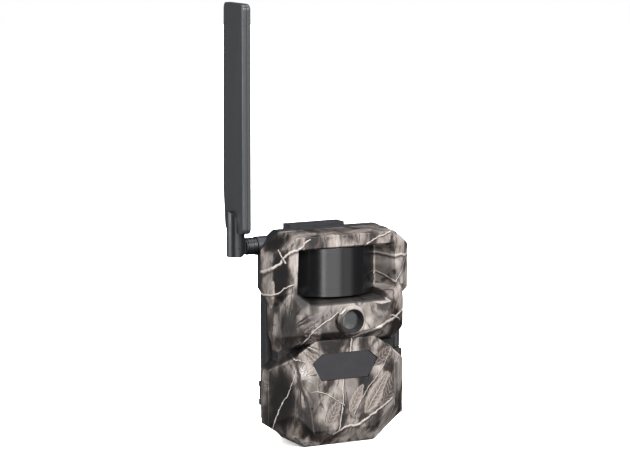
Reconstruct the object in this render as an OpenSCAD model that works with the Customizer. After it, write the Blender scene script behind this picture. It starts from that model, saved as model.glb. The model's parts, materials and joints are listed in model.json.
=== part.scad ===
// Cellular trail camera: a hinged two-half case with a side paddle antenna.
// Front faces -Y, up is +Z. The origin is the mouth of the tripod insert, at the middle of the
// underside. "Depth" means millimetres behind the plane of the head's front frame.

/* [Case] */
// Height of the front housing
body_h = 141; // [138:1:144]
// Width across the side walls
body_w = 100; // [98:1:102]
// Depth of the parting line between the two halves
parting_depth = 25; // [25:0.5:26]
// Depth of the rear wall
case_depth = 56; // [56:1:60]
// Wall thickness of both mouldings
wall = 2.2; // [2:0.1:2.4]
// Gap between the two halves at the parting line
seam_gap = 0.3; // [0.2:0.05:0.4]

/* [Optics] */
// Radius of the curved motion-sensor window
window_r = 34; // [33:0.5:35]
// Height of the motion-sensor window
window_h = 32; // [31:0.5:32]
// Height of the lens axis above the underside
lens_z = 84.6; // [84:0.2:85.4]
// Outer radius of the lens bezel where it meets the housing
bezel_r = 10.4; // [10:0.1:10.8]
// Rows and columns of infrared lamps
lamp_cols = 7; // [5:1:7]
// Rows of infrared lamps
lamp_rows = 4; // [3:1:4]

/* [Antenna] */
// Length of the flat blade
blade_l = 148; // [120:1:150]
// Width of the blade, front to back
blade_w = 31; // [24:0.5:32]
// Thickness of the blade
blade_t = 6; // [5.6:0.1:6.4]
// Height of the connector's axis
antenna_z = 131; // [130.5:0.1:131.5]

/* [Power] */
// Diameter of one AA cell
cell_d = 14.4; // [14:0.1:14.5]
// Length of one AA cell, without its tip
cell_l = 49.2; // [49:0.1:49.5]
// Columns of cells side by side
cell_cols = 4; // [4:1:4]

/* [Motion] */
// Travel of a keypad button
button_travel = 0.8; // [0.5:0.1:0.8]

/* [Hidden] */

function depth(d) = -35 + d;
half_w = body_w / 2;
seam_front = parting_depth - seam_gap / 2;
seam_rear = parting_depth + seam_gap / 2;
fit_gap = 0.06;
touch = 0.01;
camo = "#8d847c";
shell_black = "#3a3d42";

// ---------- helpers ----------

// Right half of an outline, completed with its mirror image
function mirrored(half) = concat(half, [for (i = [len(half) - 1:-1:0]) [-half[i][0], half[i][1]]]);

// Outline in the XZ plane, given real thickness between two depths
module slab(points, d0, d1) {
    translate([0, depth(d1), 0])
        rotate([90, 0, 0])
            linear_extrude(d1 - d0)
                polygon(points);
}

// Smallest convex solid around a list of points
module wrap(points) {
    hull()
        polyhedron(points = points, faces = [[for (i = [0:len(points) - 1]) i]]);
}

// Both mirror images of a list of points, as [x, depth, z]
function both(points) = [for (p = points, s = [-1, 1]) [s * p[0], depth(p[1]), p[2]]];

// Box between two corners, its Y given as depth
module block(a, b) {
    translate([a[0], depth(a[1]), a[2]])
        cube([b[0] - a[0], b[1] - a[1], b[2] - a[2]]);
}

// Cylinder along Y between two depths
module peg(x, z, r, d0, d1) {
    translate([x, depth(d0), z])
        rotate([-90, 0, 0])
            cylinder(h = d1 - d0, r = r, $fn = 48);
}

// Cylinder along X between two places
module rod_x(x0, x1, y, z, r, sides = 48) {
    translate([x0, y, z])
        rotate([0, 90, 0])
            cylinder(h = x1 - x0, r = r, $fn = sides);
}

// Pan-head screw along Y with a cross recess. The underside of its head is at seat_depth,
// and facing is 1 for a head towards the back or -1 for a head towards the front.
screw_head_r = 2.1;
screw_head_h = 1.4;
screw_r = 1.1;

module screw(x, z, seat_depth, length, facing = 1) {
    translate([x, depth(seat_depth), z])
        rotate([facing == 1 ? -90 : 90, 0, 0])
            difference() {
                union() {
                    cylinder(h = screw_head_h, r = screw_head_r, $fn = 48);
                    translate([0, 0, -length])
                        cylinder(h = length + touch, r = screw_r, $fn = 48);
                }
                for (turn = [0, 90])
                    rotate([0, 0, turn])
                        translate([-1.3, -0.3, screw_head_h - 0.7])
                            cube([2.6, 0.6, 2]);
            }
}

// ---------- front housing ----------

// Corners of the head, the waist and the lower cover, right side, as [x, depth, z]
hood_front = [35.9, 0.8, body_h - 1];
hood_back = [36.6, seam_front, body_h];
shoulder = [half_w - 0.1, 8.8, 130];
head_side = [half_w - 0.1, 8.8, 100.5];
frame_top = [41.1, 0.4, 135.5];
frame_low = [41.1, 0.4, 104.8];
chin_top = [26, -1.3, 96.8];
chin_low = [21.2, -6.2, 77.8];
waist_top = [45.3, 6.2, 94.3];
waist_low = [45.3, 6.4, 75.1];
jaw = [37.8, 7, 66.9];
cover_top = [21, 1.6, 71.5];
cover_knee = [33, 2.6, 64];
cover_shoulder = [36, 2.7, 60.5];
cover_side = [half_w - 0.1, 15.2, 52.2];
cover_side_low = [half_w - 0.1, 15.2, 15.8];
cover_foot = [36, 2.7, 24];
cover_toe = [23, 2.7, 11];
underside = [26, 10.3, 0];

function at_depth(p, d) = [p[0], d, p[2]];
function inset(p, dx, dd, dz) = [p[0] - dx, p[1] + dd, p[2] + dz];

neck_x = 42.5;
base_depth = 14.6;
base_outline = mirrored([
    [36.6, body_h], [half_w - 0.1, 128.5], [half_w - 0.1, 100.5], [45.3, 94.3], [45.3, 75.1],
    [neck_x, 69], [neck_x, 58], [half_w - 0.1, 52.2], [half_w - 0.1, 15.8], [26, 0]
]);
cavity_outline = mirrored([
    [35.4, body_h - wall], [half_w - 0.1 - wall, 127.4], [half_w - 0.1 - wall, 101.4],
    [45.3 - wall, 95.2], [45.3 - wall, 75.6], [neck_x - wall, 69.6], [neck_x - wall, 57.2],
    [half_w - 0.1 - wall, 51], [half_w - 0.1 - wall, 17], [25.4, wall]
]);
recess_outline = mirrored([[33.8, 131.4], [35, 103.5], [26, 97.6]]);
recess_side = 29.4;
recess_floor_depth = 16.2;

module head_outer() {
    wrap(both([
        hood_front, hood_back, frame_top, frame_low, chin_top, shoulder, head_side,
        at_depth(shoulder, seam_front), at_depth(head_side, seam_front),
        at_depth(waist_top, 12), at_depth(waist_top, seam_front)
    ]));
}

module chin_outer() {
    wrap(both([
        frame_low, chin_top, chin_low, waist_top, waist_low, jaw,
        at_depth(waist_top, 16), at_depth(waist_low, 16),
        at_depth(jaw, 16), at_depth(chin_low, 16)
    ]));
}

module cover_outer() {
    wrap(both([
        cover_top, cover_knee, cover_shoulder, cover_side, cover_side_low, cover_foot, cover_toe,
        underside, at_depth(cover_top, 16), at_depth(cover_knee, 16),
        at_depth(cover_side, seam_front), at_depth(cover_side_low, seam_front),
        at_depth(underside, seam_front)
    ]));
}

module chin_inner() {
    wrap(both([
        inset(frame_low, 4, 5, -9.5), inset(chin_top, 2, 3.2, -2.6), inset(chin_low, 1.5, 2.6, 2.4),
        inset(waist_top, wall, 3.4, 0), inset(waist_low, wall, 3.4, 1), inset(jaw, 2, 3.2, 2.4),
        at_depth(inset(waist_top, wall, 0, 0), 18), at_depth(inset(waist_low, wall, 0, 1), 18),
        at_depth(inset(jaw, 2, 0, 2.4), 18), at_depth(inset(chin_low, 1, 0, 2.4), 18)
    ]));
}

module cover_inner() {
    wrap(both([
        inset(cover_top, 1.5, wall, -wall), inset(cover_knee, 1.5, wall, -wall),
        inset(cover_side, wall, 1.6, -1), inset(cover_side_low, wall, 1.6, 1),
        inset(cover_foot, 1.2, wall, 0), inset(cover_toe, 1, wall, 1),
        inset(underside, 1, 0, wall), at_depth(inset(cover_top, 1.5, 0, -wall), 18),
        at_depth(inset(cover_side, wall, 0, -1), 20),
        at_depth(inset(cover_side_low, wall, 0, 1), 20),
        at_depth(inset(underside, 1, 0, wall), 20)
    ]));
}

// Straight-sided pocket that narrows from the frame to the window's edges
module window_recess() {
    intersection() {
        slab(recess_outline, -6, recess_floor_depth);
        translate([0, 0, 90])
            linear_extrude(50)
                polygon([
                    [-36.4, depth(-6)], [36.4, depth(-6)],
                    [recess_side, depth(recess_floor_depth)],
                    [-recess_side, depth(recess_floor_depth)]
                ]);
    }
}

panel_screw_places = [[-37, 116], [37, 116], [-40, 24], [40, 24]];
board_screw_places = [[-33, 92], [33, 92], [-33, 34], [33, 34]];
board_depth = 17;
board_t = 1.6;
panel_depth = 22.4;
panel_t = 2;

module front_housing() {
    color(camo)
    difference() {
        union() {
            difference() {
                union() {
                    slab(base_outline, base_depth, seam_front);
                    head_outer();
                    chin_outer();
                    cover_outer();
                }
                slab(cavity_outline, base_depth + wall, seam_front + 1);
                chin_inner();
                cover_inner();
            }
            // Screw bosses that carry the panel and the main board
            for (p = panel_screw_places) peg(p[0], p[1], 3, 10, panel_depth);
            for (p = board_screw_places) peg(p[0], p[1], 2.6, 4.4, board_depth);
            // Tube that holds the lens barrel
            peg(0, lens_z, lens_seat_r, -5, 8);
            // Hinge ears on the right-hand wall
            for (z = hinge_ear_z) hinge_ear(z);
        }
        window_recess();
        window_opening();
        peg(0, lens_z, barrel_r + fit_gap, -8, 20);
        peg(0, lens_z, bezel_seat_r, -12, bezel_back_depth);
        slab(lamp_opening, -2, 12);
        slab(ir_window_outline, -2, ir_window_depth + ir_window_t + touch);
        for (p = panel_screw_places) peg(p[0], p[1], 1.1, 15, 24);
        for (p = board_screw_places) peg(p[0], p[1], 1.1, 11, 18);
        for (z = hinge_ear_z) hinge_bore(z);
        // Sound hole of the microphone
        peg(microphone_x, microphone_z, 0.6, -2, 12);
        // Room for the rear half's hinge knuckle
        translate([hinge_x, hinge_y, hinge_mid_z])
            cylinder(h = hinge_mid_h + 1, r = hinge_r + 0.5, center = true, $fn = 48);
    }
}

// ---------- lens ----------

bezel_seat_r = 8.6;
bezel_back_depth = -2.6;
barrel_r = 6.9;
lens_seat_r = 8.6;
glass_r = 7;

// Ring with a conical outside and a stepped inside, turned about the lens axis
module lens_bezel() {
    color(camo)
    translate([0, depth(0), lens_z])
        rotate([90, 0, 0])
            rotate_extrude($fn = 96)
                polygon([
                    [glass_r + 0.2, 2.6], [bezel_seat_r - 0.05, 2.6], [bezel_seat_r - 0.05, 6.4],
                    [bezel_r, 6.4], [bezel_r - 0.6, 8], [bezel_r - 1.8, 9.2], [9.2 - 1.2, 9.4],
                    [7.6, 8.8], [6.2, 5.4], [6.2, 4.6], [glass_r + 0.2, 4.6]
                ]);
}

module lens_cover_glass() {
    color("#22262b")
    peg(0, lens_z, glass_r, -4.4, -3);
}

module lens_barrel() {
    color("#1c1d20")
    difference() {
        union() {
            peg(0, lens_z, barrel_r, -2.9, 11);
            peg(0, lens_z, barrel_r - 1, 11, 12.4);
        }
        peg(0, lens_z, 5.2, -3.5, 0.5);
        peg(0, lens_z, 3.2, -3.5, 13);
    }
}

element_r = 5.1;
element_curve_r = 9;
element_front = 2.8;
element_back = -0.4;
element_steps = 8;
// How far the convex face has fallen back at a distance from the axis
function sag(r) = element_curve_r - sqrt(element_curve_r ^ 2 - r ^ 2);

// Plano-convex element, turned about the lens axis
module front_lens_element() {
    color("#28303c")
    translate([0, depth(0), lens_z])
        rotate([90, 0, 0])
            rotate_extrude($fn = 64)
                polygon(concat(
                    [[0, element_back], [element_r, element_back]],
                    [for (i = [element_steps:-1:0])
                        let (r = element_r * i / element_steps) [r, element_front - sag(r)]]
                ));
}

module filter_carrier() {
    color("#202124")
    difference() {
        block([-15, 12.6, lens_z - 8], [11, 15.2, lens_z + 8]);
        peg(0, lens_z, 3.4, 12, 16);
        block([-13.6, 13.2, lens_z - 4.3], [9.6, 14.6, lens_z + 4.3]);
    }
}

// Filter plate that a small coil pulls aside at night
module ir_cut_filter() {
    color("#5fb7c4")
    block([-4.2, 13.5, lens_z - 4], [4.2, 14.3, lens_z + 4]);
}

module image_sensor() {
    color("#26302c")
    block([-4, 15.4, lens_z - 3.4], [4, 16.2, lens_z + 3.4]);
}

module sensor_board() {
    color("#1f6b3c")
    block([-13, 16.2, lens_z - 9], [13, 16.95, lens_z + 9]);
}

// ---------- motion sensor ----------

window_t = 0.9;
window_low = 99.4;
window_axis_depth = window_r + 0.9;
window_half = 29;

module window_opening() {
    block([-window_half + 1, 0, window_low + 1], [window_half - 1, seam_front, window_low + window_h - 1.6]);
}

// Upright segment of a tube
module pir_window() {
    color("#2c2e31")
    intersection() {
        translate([0, depth(window_axis_depth), window_low])
            difference() {
                cylinder(h = window_h - 0.4, r = window_r, $fn = 128);
                translate([0, 0, -1])
                    cylinder(h = window_h + 2, r = window_r - window_t, $fn = 128);
            }
        block(
            [-window_half, -2, window_low - 1],
            [window_half, recess_floor_depth - 0.1, window_low + window_h]
        );
    }
}

module pir_sensor() {
    color("#b9bcc0")
    difference() {
        union() {
            peg(0, 115, 4.6, 15.6, 19.8);
            peg(0, 115, 5, 19.8, 20.4);
        }
        block([-2, 15, 113.2], [2, 15.9, 116.8]);
    }
}

module pir_board() {
    color("#1f6b3c")
    block([-24, 20.4, 104], [24, 21.6, 127]);
}

// ---------- infrared lamps ----------

ir_window_depth = 2.75;
ir_window_t = 1.6;
ir_window_outline = mirrored([[17.2, 62.5], [24, 56.7], [17.2, 44.4]]);
lamp_opening = mirrored([[15.8, 61], [22, 56.4], [16, 46]]);
lamp_pitch_x = 5;
lamp_pitch_z = 4.4;
lamp_mid_z = 53.6;

module ir_window() {
    color("#3d3f43")
    slab([for (p = ir_window_outline) [p[0] * 0.995, 53.5 + (p[1] - 53.5) * 0.995]],
         ir_window_depth, ir_window_depth + ir_window_t);
}

module lamp_board() {
    color("#1f6b3c")
    block([-21, 11.4, 43], [21, 12.6, 64]);
}

// Lamps on a grid, kept where the window is wide enough to show them
module ir_lamps() {
    color("#c9cbd2")
    for (row = [0:lamp_rows - 1])
        for (col = [0:lamp_cols - 1]) {
            x = (col - (lamp_cols - 1) / 2) * lamp_pitch_x;
            z = lamp_mid_z + (row - (lamp_rows - 1) / 2) * lamp_pitch_z;
            if (abs(x) < 14 + row) {
                peg(x, z, 1.5, 7.8, 11.4);
                translate([x, depth(7.8), z]) sphere(r = 1.5, $fn = 24);
            }
        }
}

// ---------- boards and controls in the front half ----------

microphone_x = -24;
microphone_z = 27;
button_x = -17;
button_z = 52;
button_step = 9.2;
button_r = 3.4;
switch_x = 26;
switch_z = 52;
card_z = 20;
card_x = -13;
sim_x = 13;
lcd_z = 80;

module main_board() {
    color("#1f6b3c")
    difference() {
        block([-36, board_depth, 30], [36, board_depth + board_t, 96]);
        for (p = board_screw_places) peg(p[0], p[1], 1.2, board_depth - 1, board_depth + 3);
    }
}

// Places of the six keypad buttons: [x, z]
function key_place(i) = [
    [button_x - 13.6, button_z - 12], [button_x, button_z], [button_x, button_z + button_step],
    [button_x, button_z - button_step], [button_x - button_step, button_z],
    [button_x + button_step, button_z]
][i];
key_count = 6;
key_top_depth = 25.4;

// Dome switches under the keys, the processor and its memory
module board_components() {
    color("#4a4b4f")
    union() {
        for (i = [0:key_count - 1]) {
            p = key_place(i);
            block([p[0] - 2.2, board_depth + board_t, p[1] - 2.2],
                  [p[0] + 2.2, board_depth + board_t + 1, p[1] + 2.2]);
        }
        block([22, board_depth + board_t, 68], [33, board_depth + board_t + 1.2, 79]);
        block([22, board_depth + board_t, 82], [31, board_depth + board_t + 1, 87]);
    }
}

// Key cap with a collar under the panel and a stem over its switch
module key(i) {
    p = key_place(i);
    union() {
        peg(p[0], p[1], button_r, panel_depth - 0.2, key_top_depth);
        peg(p[0], p[1], button_r + 0.7, panel_depth - 1.2, panel_depth - 0.2);
        peg(p[0], p[1], 1.2, board_depth + board_t + 1 + button_travel + 0.2, panel_depth - 1.2);
    }
}

module menu_button() { color("#55585c") key(0); }
module ok_button() { color("#b24a2a") key(1); }
module up_button() { color("#55585c") key(2); }
module down_button() { color("#55585c") key(3); }
module left_button() { color("#55585c") key(4); }
module right_button() { color("#55585c") key(5); }

module microphone() {
    color("#8f9296")
    peg(microphone_x, microphone_z, 3, 12, 14.2);
}

module mode_switch_body() {
    color("#26272a")
    difference() {
        block([switch_x - 3.2, board_depth + board_t, switch_z - 8],
              [switch_x + 3.2, board_depth + board_t + 3.2, switch_z + 8]);
        block([switch_x - 1.6, board_depth + board_t + 1.2, switch_z - 6.4],
              [switch_x + 1.6, board_depth + board_t + 4, switch_z + 6.4]);
    }
}

module mode_switch() {
    color("#c8c8c4")
    union() {
        block([switch_x - 1.3, board_depth + board_t + 1.5, switch_z - 1.8],
              [switch_x + 1.3, 25.6, switch_z + 1.8]);
        block([switch_x - 2, 24.7, switch_z - 2.2], [switch_x + 2, 25.8, switch_z + 2.2]);
    }
}

panel_outline = mirrored([
    [34.6, body_h - wall - 0.8], [half_w - wall - 0.7, 126.8], [half_w - wall - 0.7, 102],
    [45.3 - wall - 0.6, 95.8], [45.3 - wall - 0.6, 76.2], [neck_x - wall - 0.6, 70.2],
    [neck_x - wall - 0.6, 56.6], [half_w - wall - 0.7, 50.4], [half_w - wall - 0.7, 17.4],
    [25, wall + 0.8]
]);

module inner_panel() {
    color("#2b2c2f")
    difference() {
        slab(panel_outline, panel_depth, panel_depth + panel_t);
        block([-18, 20, lcd_z - 12], [18, 26, lcd_z + 12]);
        for (i = [0:key_count - 1])
            peg(key_place(i)[0], key_place(i)[1], button_r + 0.3, 20, 27);
        block([switch_x - 1.6, 20, switch_z - 6.4], [switch_x + 1.6, 27, switch_z + 6.4]);
        for (x = [card_x, sim_x])
            block([x - 6.2, 20, card_z - 0.9], [x + 6.2, 27, card_z + 0.9]);
        for (p = panel_screw_places) {
            peg(p[0], p[1], 1.25, 20, 27);
            peg(p[0], p[1], 2.3, panel_depth + 0.8, 27);
        }
        for (p = board_screw_places) peg(p[0], p[1], 2.6, 20, 20.5);
        slab(pad_outline, panel_depth + panel_t - 0.5, panel_depth + 3);
        for (z = hinge_ear_z)
            block([40.6, 20, z - hinge_ear_h / 2 - 0.4], [60, 27, z + hinge_ear_h / 2 + 0.4]);
        translate([hinge_x, hinge_y, hinge_mid_z])
            cylinder(h = hinge_mid_h + 1, r = hinge_r + 0.5, center = true, $fn = 48);
    }
}

module lcd_screen() {
    color("#3a4450")
    union() {
        block([-19.5, 20.2, lcd_z - 14], [19.5, panel_depth - touch, lcd_z + 14]);
        block([-17.8, panel_depth - touch, lcd_z - 11.8], [17.8, panel_depth + 1.2, lcd_z + 11.8]);
    }
}

// Slot shell that takes a card pushed in from behind
module slot_shell(x, w) {
    difference() {
        block([x - w / 2 - 1.6, 7.6, card_z - 2.2], [x + w / 2 + 1.6, panel_depth - 0.1, card_z + 2.2]);
        block([x - w / 2 - 0.25, 9, card_z - 0.7], [x + w / 2 + 0.25, panel_depth + 1, card_z + 0.7]);
    }
}

module card_slot() { color("#b9bcc0") slot_shell(card_x, 11); }
module sim_slot() { color("#b9bcc0") slot_shell(sim_x, 12); }

// Thin card whose rear edge shows through the panel
module card(x, w, t) {
    difference() {
        block([x - w / 2, 10.4, card_z - t / 2], [x + w / 2, 25.2, card_z + t / 2]);
        translate([x + w / 2, depth(10.4), card_z])
            rotate([0, 0, 45])
                cube([3, 3, 4], center = true);
    }
}

module memory_card() { color("#26282c") card(card_x, 11, 0.9); }
module sim_card() { color("#d8d6cc") card(sim_x, 12, 0.8); }

pad_outline = [[31.6, 58.6], [38.4, 58.6], [38.4, 85.4], [31.6, 85.4]];
pin_zs = [for (i = [0:3]) 62 + i * 6.6];

// Gold pads that meet the rear half's spring pins
module contact_pads() {
    color("#d3a94a")
    for (z = pin_zs)
        block([32.6, panel_depth + panel_t - 0.5, z - 1.6], [37.4, panel_depth + panel_t - 0.1, z + 1.6]);
}

module panel_screws() {
    color("#7d8084")
    for (p = panel_screw_places) screw(p[0], p[1], panel_depth + 0.8, 6);
}

module board_screws() {
    color("#7d8084")
    for (p = board_screw_places) screw(p[0], p[1], board_depth + board_t, 5);
}

// ---------- hinge ----------

hinge_x = 50.6;
hinge_y = depth(parting_depth + 1.8);
hinge_r = 2.9;
hinge_pin_r = 1.25;
hinge_mid_z = 78;
hinge_mid_h = 40;
hinge_ear_h = 12;
// Distance of an ear's middle from the middle of the hinge, with a gap between the knuckles
hinge_ear_step = (hinge_mid_h + hinge_ear_h) / 2 + 0.3;
hinge_ear_z = [hinge_mid_z - hinge_ear_step, hinge_mid_z + hinge_ear_step];

// Knuckle with a flat web that reaches into its own half's wall
module knuckle(z, h, web_depth0, web_depth1, web_x) {
    translate([hinge_x, hinge_y, z])
        cylinder(h = h, r = hinge_r, center = true, $fn = 48);
    block([web_x, web_depth0, z - h / 2], [hinge_x, web_depth1, z + h / 2]);
}

module hinge_ear(z) {
    web_x = z > hinge_mid_z ? 46.4 : 41;
    intersection() {
        knuckle(z, hinge_ear_h, 17.5, parting_depth + 1.4, web_x);
        union() {
            translate([hinge_x, hinge_y, z])
                cylinder(h = hinge_ear_h, r = hinge_r, center = true, $fn = 48);
            block([30, 10, z - 20], [60, seam_front, z + 20]);
        }
    }
}

module hinge_bore(z) {
    translate([hinge_x, hinge_y, z])
        cylinder(h = hinge_ear_h + 2, r = hinge_pin_r + fit_gap, center = true, $fn = 48);
}

module hinge_pin() {
    color("#a9abae")
    translate([hinge_x, hinge_y, hinge_mid_z])
        cylinder(h = hinge_mid_h + 2 * hinge_ear_h + 0.8, r = hinge_pin_r, center = true, $fn = 48);
}

// ---------- rear case ----------

rear_side_head = 48;
rear_side = 45.8;
shoulder_depth = 34;
rear_outline = mirrored([
    [36.6, body_h + 0.3], [rear_side_head, 130], [rear_side_head, 104], [rear_side, 100.5],
    [rear_side, 17], [26, 0]
]);
rear_cavity = mirrored([
    [34, body_h - 6], [rear_side_head - 5, 126], [rear_side_head - 5, 104], [rear_side - 5, 100.5],
    [rear_side - 5, 19], [24, 5]
]);
gasket_outer = mirrored([
    [35.4, body_h - 3], [rear_side_head - 1.6, 128.2], [rear_side_head - 1.6, 104.6],
    [rear_side - 1.6, 101], [rear_side - 1.6, 18], [25.4, 1.6]
]);
gasket_inner = mirrored([
    [34.6, body_h - 4.8], [rear_side_head - 3.4, 127.2], [rear_side_head - 3.4, 104.9],
    [rear_side - 3.4, 101.3], [rear_side - 3.4, 18.8], [24.7, 3.4]
]);
bay_depth = case_depth - wall;
boss_r = 6.2;
boss_face_x = -48.2;
jack_y = depth(36.5);
strap_rib_x = 24;
strap_rib_w = 7;
strap_rib_depth = 10;
strap_slot_z = 73;
strap_slot_h = 32;
strap_slot_d = 5;
tooth_pitch = 6;

module rear_taper_outer() {
    wrap(both([
        [36.6, shoulder_depth, body_h + 0.3], [rear_side_head, shoulder_depth, 130],
        [rear_side_head, shoulder_depth, 104], [rear_side, shoulder_depth, 100.5],
        [28, case_depth, 136], [37, case_depth, 128], [37, case_depth, 104], [35, case_depth, 100.5]
    ]));
    wrap(both([
        [rear_side, shoulder_depth, 100.5], [rear_side, shoulder_depth, 17], [26, shoulder_depth, 0],
        [35, case_depth, 100.5], [35, case_depth, 19], [22, case_depth, 8],
        [30, shoulder_depth, 112], [30, case_depth, 112], [26, 44, 0]
    ]));
}

module rear_taper_inner() {
    wrap(both([
        [34, shoulder_depth - 1, body_h - 2.6], [rear_side_head - wall, shoulder_depth - 1, 128],
        [rear_side_head - wall, shoulder_depth - 1, 104], [26, bay_depth, 133],
        [34.4, bay_depth, 126], [34.4, bay_depth, 104]
    ]));
    wrap(both([
        [rear_side - wall, shoulder_depth - 1, 110], [rear_side - wall, shoulder_depth - 1, 18],
        [25, shoulder_depth - 1, 3], [32.6, bay_depth, 110], [32.6, bay_depth, 20],
        [20, bay_depth, 11], [24, 43, 3]
    ]));
}

// Upright rib with teeth that bite into bark and a slot for the strap
module strap_rib(x) {
    teeth = floor(88 / tooth_pitch);
    profile = concat(
        [[case_depth - 3, 28], [case_depth + strap_rib_depth - 2, 28]],
        [for (i = [0:teeth - 1], k = [0, 1])
            [case_depth + strap_rib_depth - 2 * (1 - k), 30 + (i + k * 0.5) * tooth_pitch]],
        [[case_depth + strap_rib_depth - 2, 120], [case_depth - 3, 120]]
    );
    difference() {
        translate([x - strap_rib_w / 2, 0, 0])
            rotate([90, 0, 90])
                linear_extrude(strap_rib_w)
                    polygon([for (p = profile) [depth(p[0]), p[1]]]);
        block([x - 10, case_depth + 1.2, strap_slot_z - strap_slot_h / 2],
              [x + 10, case_depth + 1.2 + strap_slot_d, strap_slot_z + strap_slot_h / 2]);
    }
}

latch_z = 34.6;
latch_h = 15;
latch_x = -47.3;
latch_pivot_depth = 29.8;
latch_pin_r = 0.7;

module rear_case() {
    color(shell_black)
    difference() {
        union() {
            difference() {
                union() {
                    slab(rear_outline, seam_rear, shoulder_depth);
                    rear_taper_outer();
                    // Raised block on top that keeps a strap or lock cable in place
                    block([-20, 42, 130], [20, 53, body_h + 0.9]);
                }
                slab(rear_cavity, seam_rear - 1, shoulder_depth);
                rear_taper_inner();
            }
            // Boss of the antenna connector, and the wall behind it
            rod_x(boss_face_x, -36, jack_y, antenna_z, boss_r);
            // Boss round the tripod insert
            translate([0, 0, wall - touch])
                cylinder(h = 8, r = 7, $fn = 48);
            // Hinge knuckle on the right-hand wall
            intersection() {
                knuckle(hinge_mid_z, hinge_mid_h, parting_depth, shoulder_depth - 0.5, 42);
                union() {
                    translate([hinge_x, hinge_y, hinge_mid_z])
                        cylinder(h = hinge_mid_h, r = hinge_r, center = true, $fn = 48);
                    block([30, seam_rear, 40], [60, 40, 120]);
                }
            }
            // Ears that hold the latch pin
            for (s = [-1, 1])
                block([latch_x - 1.2, latch_pivot_depth - 1.4, latch_z - 2 + s * (latch_h / 2 - 1.5)],
                      [latch_x + 3.4, latch_pivot_depth + 1.6, latch_z + 2 + s * (latch_h / 2 - 1.5)]);
            // Pillars for the battery tray's screws
            for (p = tray_screw_places) peg(p[0], p[1], 3, tray_back_depth, bay_depth + 1);
            for (x = [-strap_rib_x, strap_rib_x]) strap_rib(x);
        }
        // Gasket groove
        difference() {
            slab(gasket_outer, seam_rear - 1, gasket_back_depth);
            slab(gasket_inner, seam_rear - 2, gasket_back_depth + 1);
        }
        rod_x(-60, -30, jack_y, antenna_z, jack_r + 0.05);
        rod_x(-44.6, -30, jack_y, antenna_z, jack_nut_r + 1);
        translate([0, 0, -1]) cylinder(h = 9, r = insert_r, $fn = 48);
        translate([0, 0, -1]) cylinder(h = 12.5, r = 3.4, $fn = 48);
        translate([hinge_x, hinge_y, hinge_mid_z])
            cylinder(h = hinge_mid_h + 2, r = hinge_pin_r, center = true, $fn = 48);
        for (z = hinge_ear_z)
            translate([hinge_x, hinge_y, z])
                cylinder(h = hinge_ear_h + 1, r = hinge_r + 0.5, center = true, $fn = 48);
        for (p = tray_screw_places) peg(p[0], p[1], 1.1, tray_back_depth - 1, bay_depth - 0.5);
        translate([latch_x, depth(latch_pivot_depth), latch_z])
            cylinder(h = latch_h + 4, r = latch_pin_r, center = true, $fn = 32);
        // Room for the lever between its ears
        translate([latch_x, depth(latch_pivot_depth), latch_z])
            cylinder(h = lever_h + 0.6, r = lever_hub_r + 0.4, center = true, $fn = 48);
        // Recess and opening of the power socket
        block([port_x - 8, port_depth - 5, -1], [port_x + 8, port_depth + 5, 2]);
        translate([port_x, depth(port_depth), -1])
            cylinder(h = 8, r = dc_bore_r + 0.6, $fn = 48);
    }
}

gasket_back_depth = seam_rear + 1.8;

module case_gasket() {
    color("#1a1a1a")
    difference() {
        slab(gasket_outer, seam_rear - 0.15, gasket_back_depth);
        slab(gasket_inner, seam_rear - 1, gasket_back_depth + 1);
    }
}

insert_r = 5;
insert_l = 8;
insert_bore_r = 3.175;

module tripod_insert() {
    color("#c9a24f")
    difference() {
        cylinder(h = insert_l, r = insert_r, $fn = 48);
        translate([0, 0, -1])
            cylinder(h = insert_l + 2, r = insert_bore_r, $fn = 48);
    }
}

// ---------- power ----------

tray_front_depth = 30.4;
tray_back_depth = 48.2;
tray_low = 16;
tray_high = 126.8;
tray_half = 32.4;
tray_wall = 1.4;
tray_floor = 1.6;
cell_pitch = cell_d + 0.6;
cell_depth = 39;
level_pitch = (tray_high - tray_low) / 2;
tray_screw_places = [[-15, 30], [15, 30], [-15, 112], [15, 112]];
function cell_x(i) = (i - (cell_cols - 1) / 2) * cell_pitch;
function cell_z(j) = tray_low + tray_wall + 1.6 + j * level_pitch;

module battery_tray() {
    color("#242528")
    difference() {
        block([-tray_half, tray_front_depth, tray_low], [tray_half, tray_back_depth, tray_high]);
        for (j = [0, 1])
            block([-tray_half + tray_wall, tray_front_depth - 1, tray_low + tray_wall + j * level_pitch],
                  [tray_half - tray_wall, tray_back_depth - tray_floor,
                   tray_low - tray_wall + (j + 1) * level_pitch]);
        for (p = tray_screw_places) peg(p[0], p[1], screw_r + 0.1, 40, 50);
    }
}

// A plate over each cell's tip, and a pressed spring cone under its foot
module battery_terminals() {
    color("#c6c8cb")
    for (i = [0:cell_cols - 1], j = [0, 1]) {
        block([cell_x(i) - 4.5, 34, cell_z(j) + cell_l + 1],
              [cell_x(i) + 4.5, 44, cell_z(j) + cell_l + 1.4]);
        translate([cell_x(i), depth(cell_depth), cell_z(j) - 1.6])
            difference() {
                cylinder(h = 1.6, r1 = 5, r2 = 3.4, $fn = 32);
                translate([0, 0, -1])
                    cylinder(h = 4, r = 2.2, $fn = 32);
            }
    }
}

module aa_cells() {
    color("#b98a4a")
    for (i = [0:cell_cols - 1], j = [0, 1])
        translate([cell_x(i), depth(cell_depth), cell_z(j)])
            union() {
                cylinder(h = cell_l, r = cell_d / 2, $fn = 48);
                cylinder(h = cell_l + 1, r = 2.7, $fn = 32);
            }
}

module tray_screws() {
    color("#7d8084")
    for (p = tray_screw_places)
        screw(p[0], p[1], tray_back_depth - tray_floor, 4, -1);
}

module contact_block() {
    color("#242528")
    difference() {
        block([tray_half, 27, 58.6], [37.4, 35, 85.4]);
        for (z = pin_zs) peg(35, z, 0.9, 26, 33);
    }
}

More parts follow.
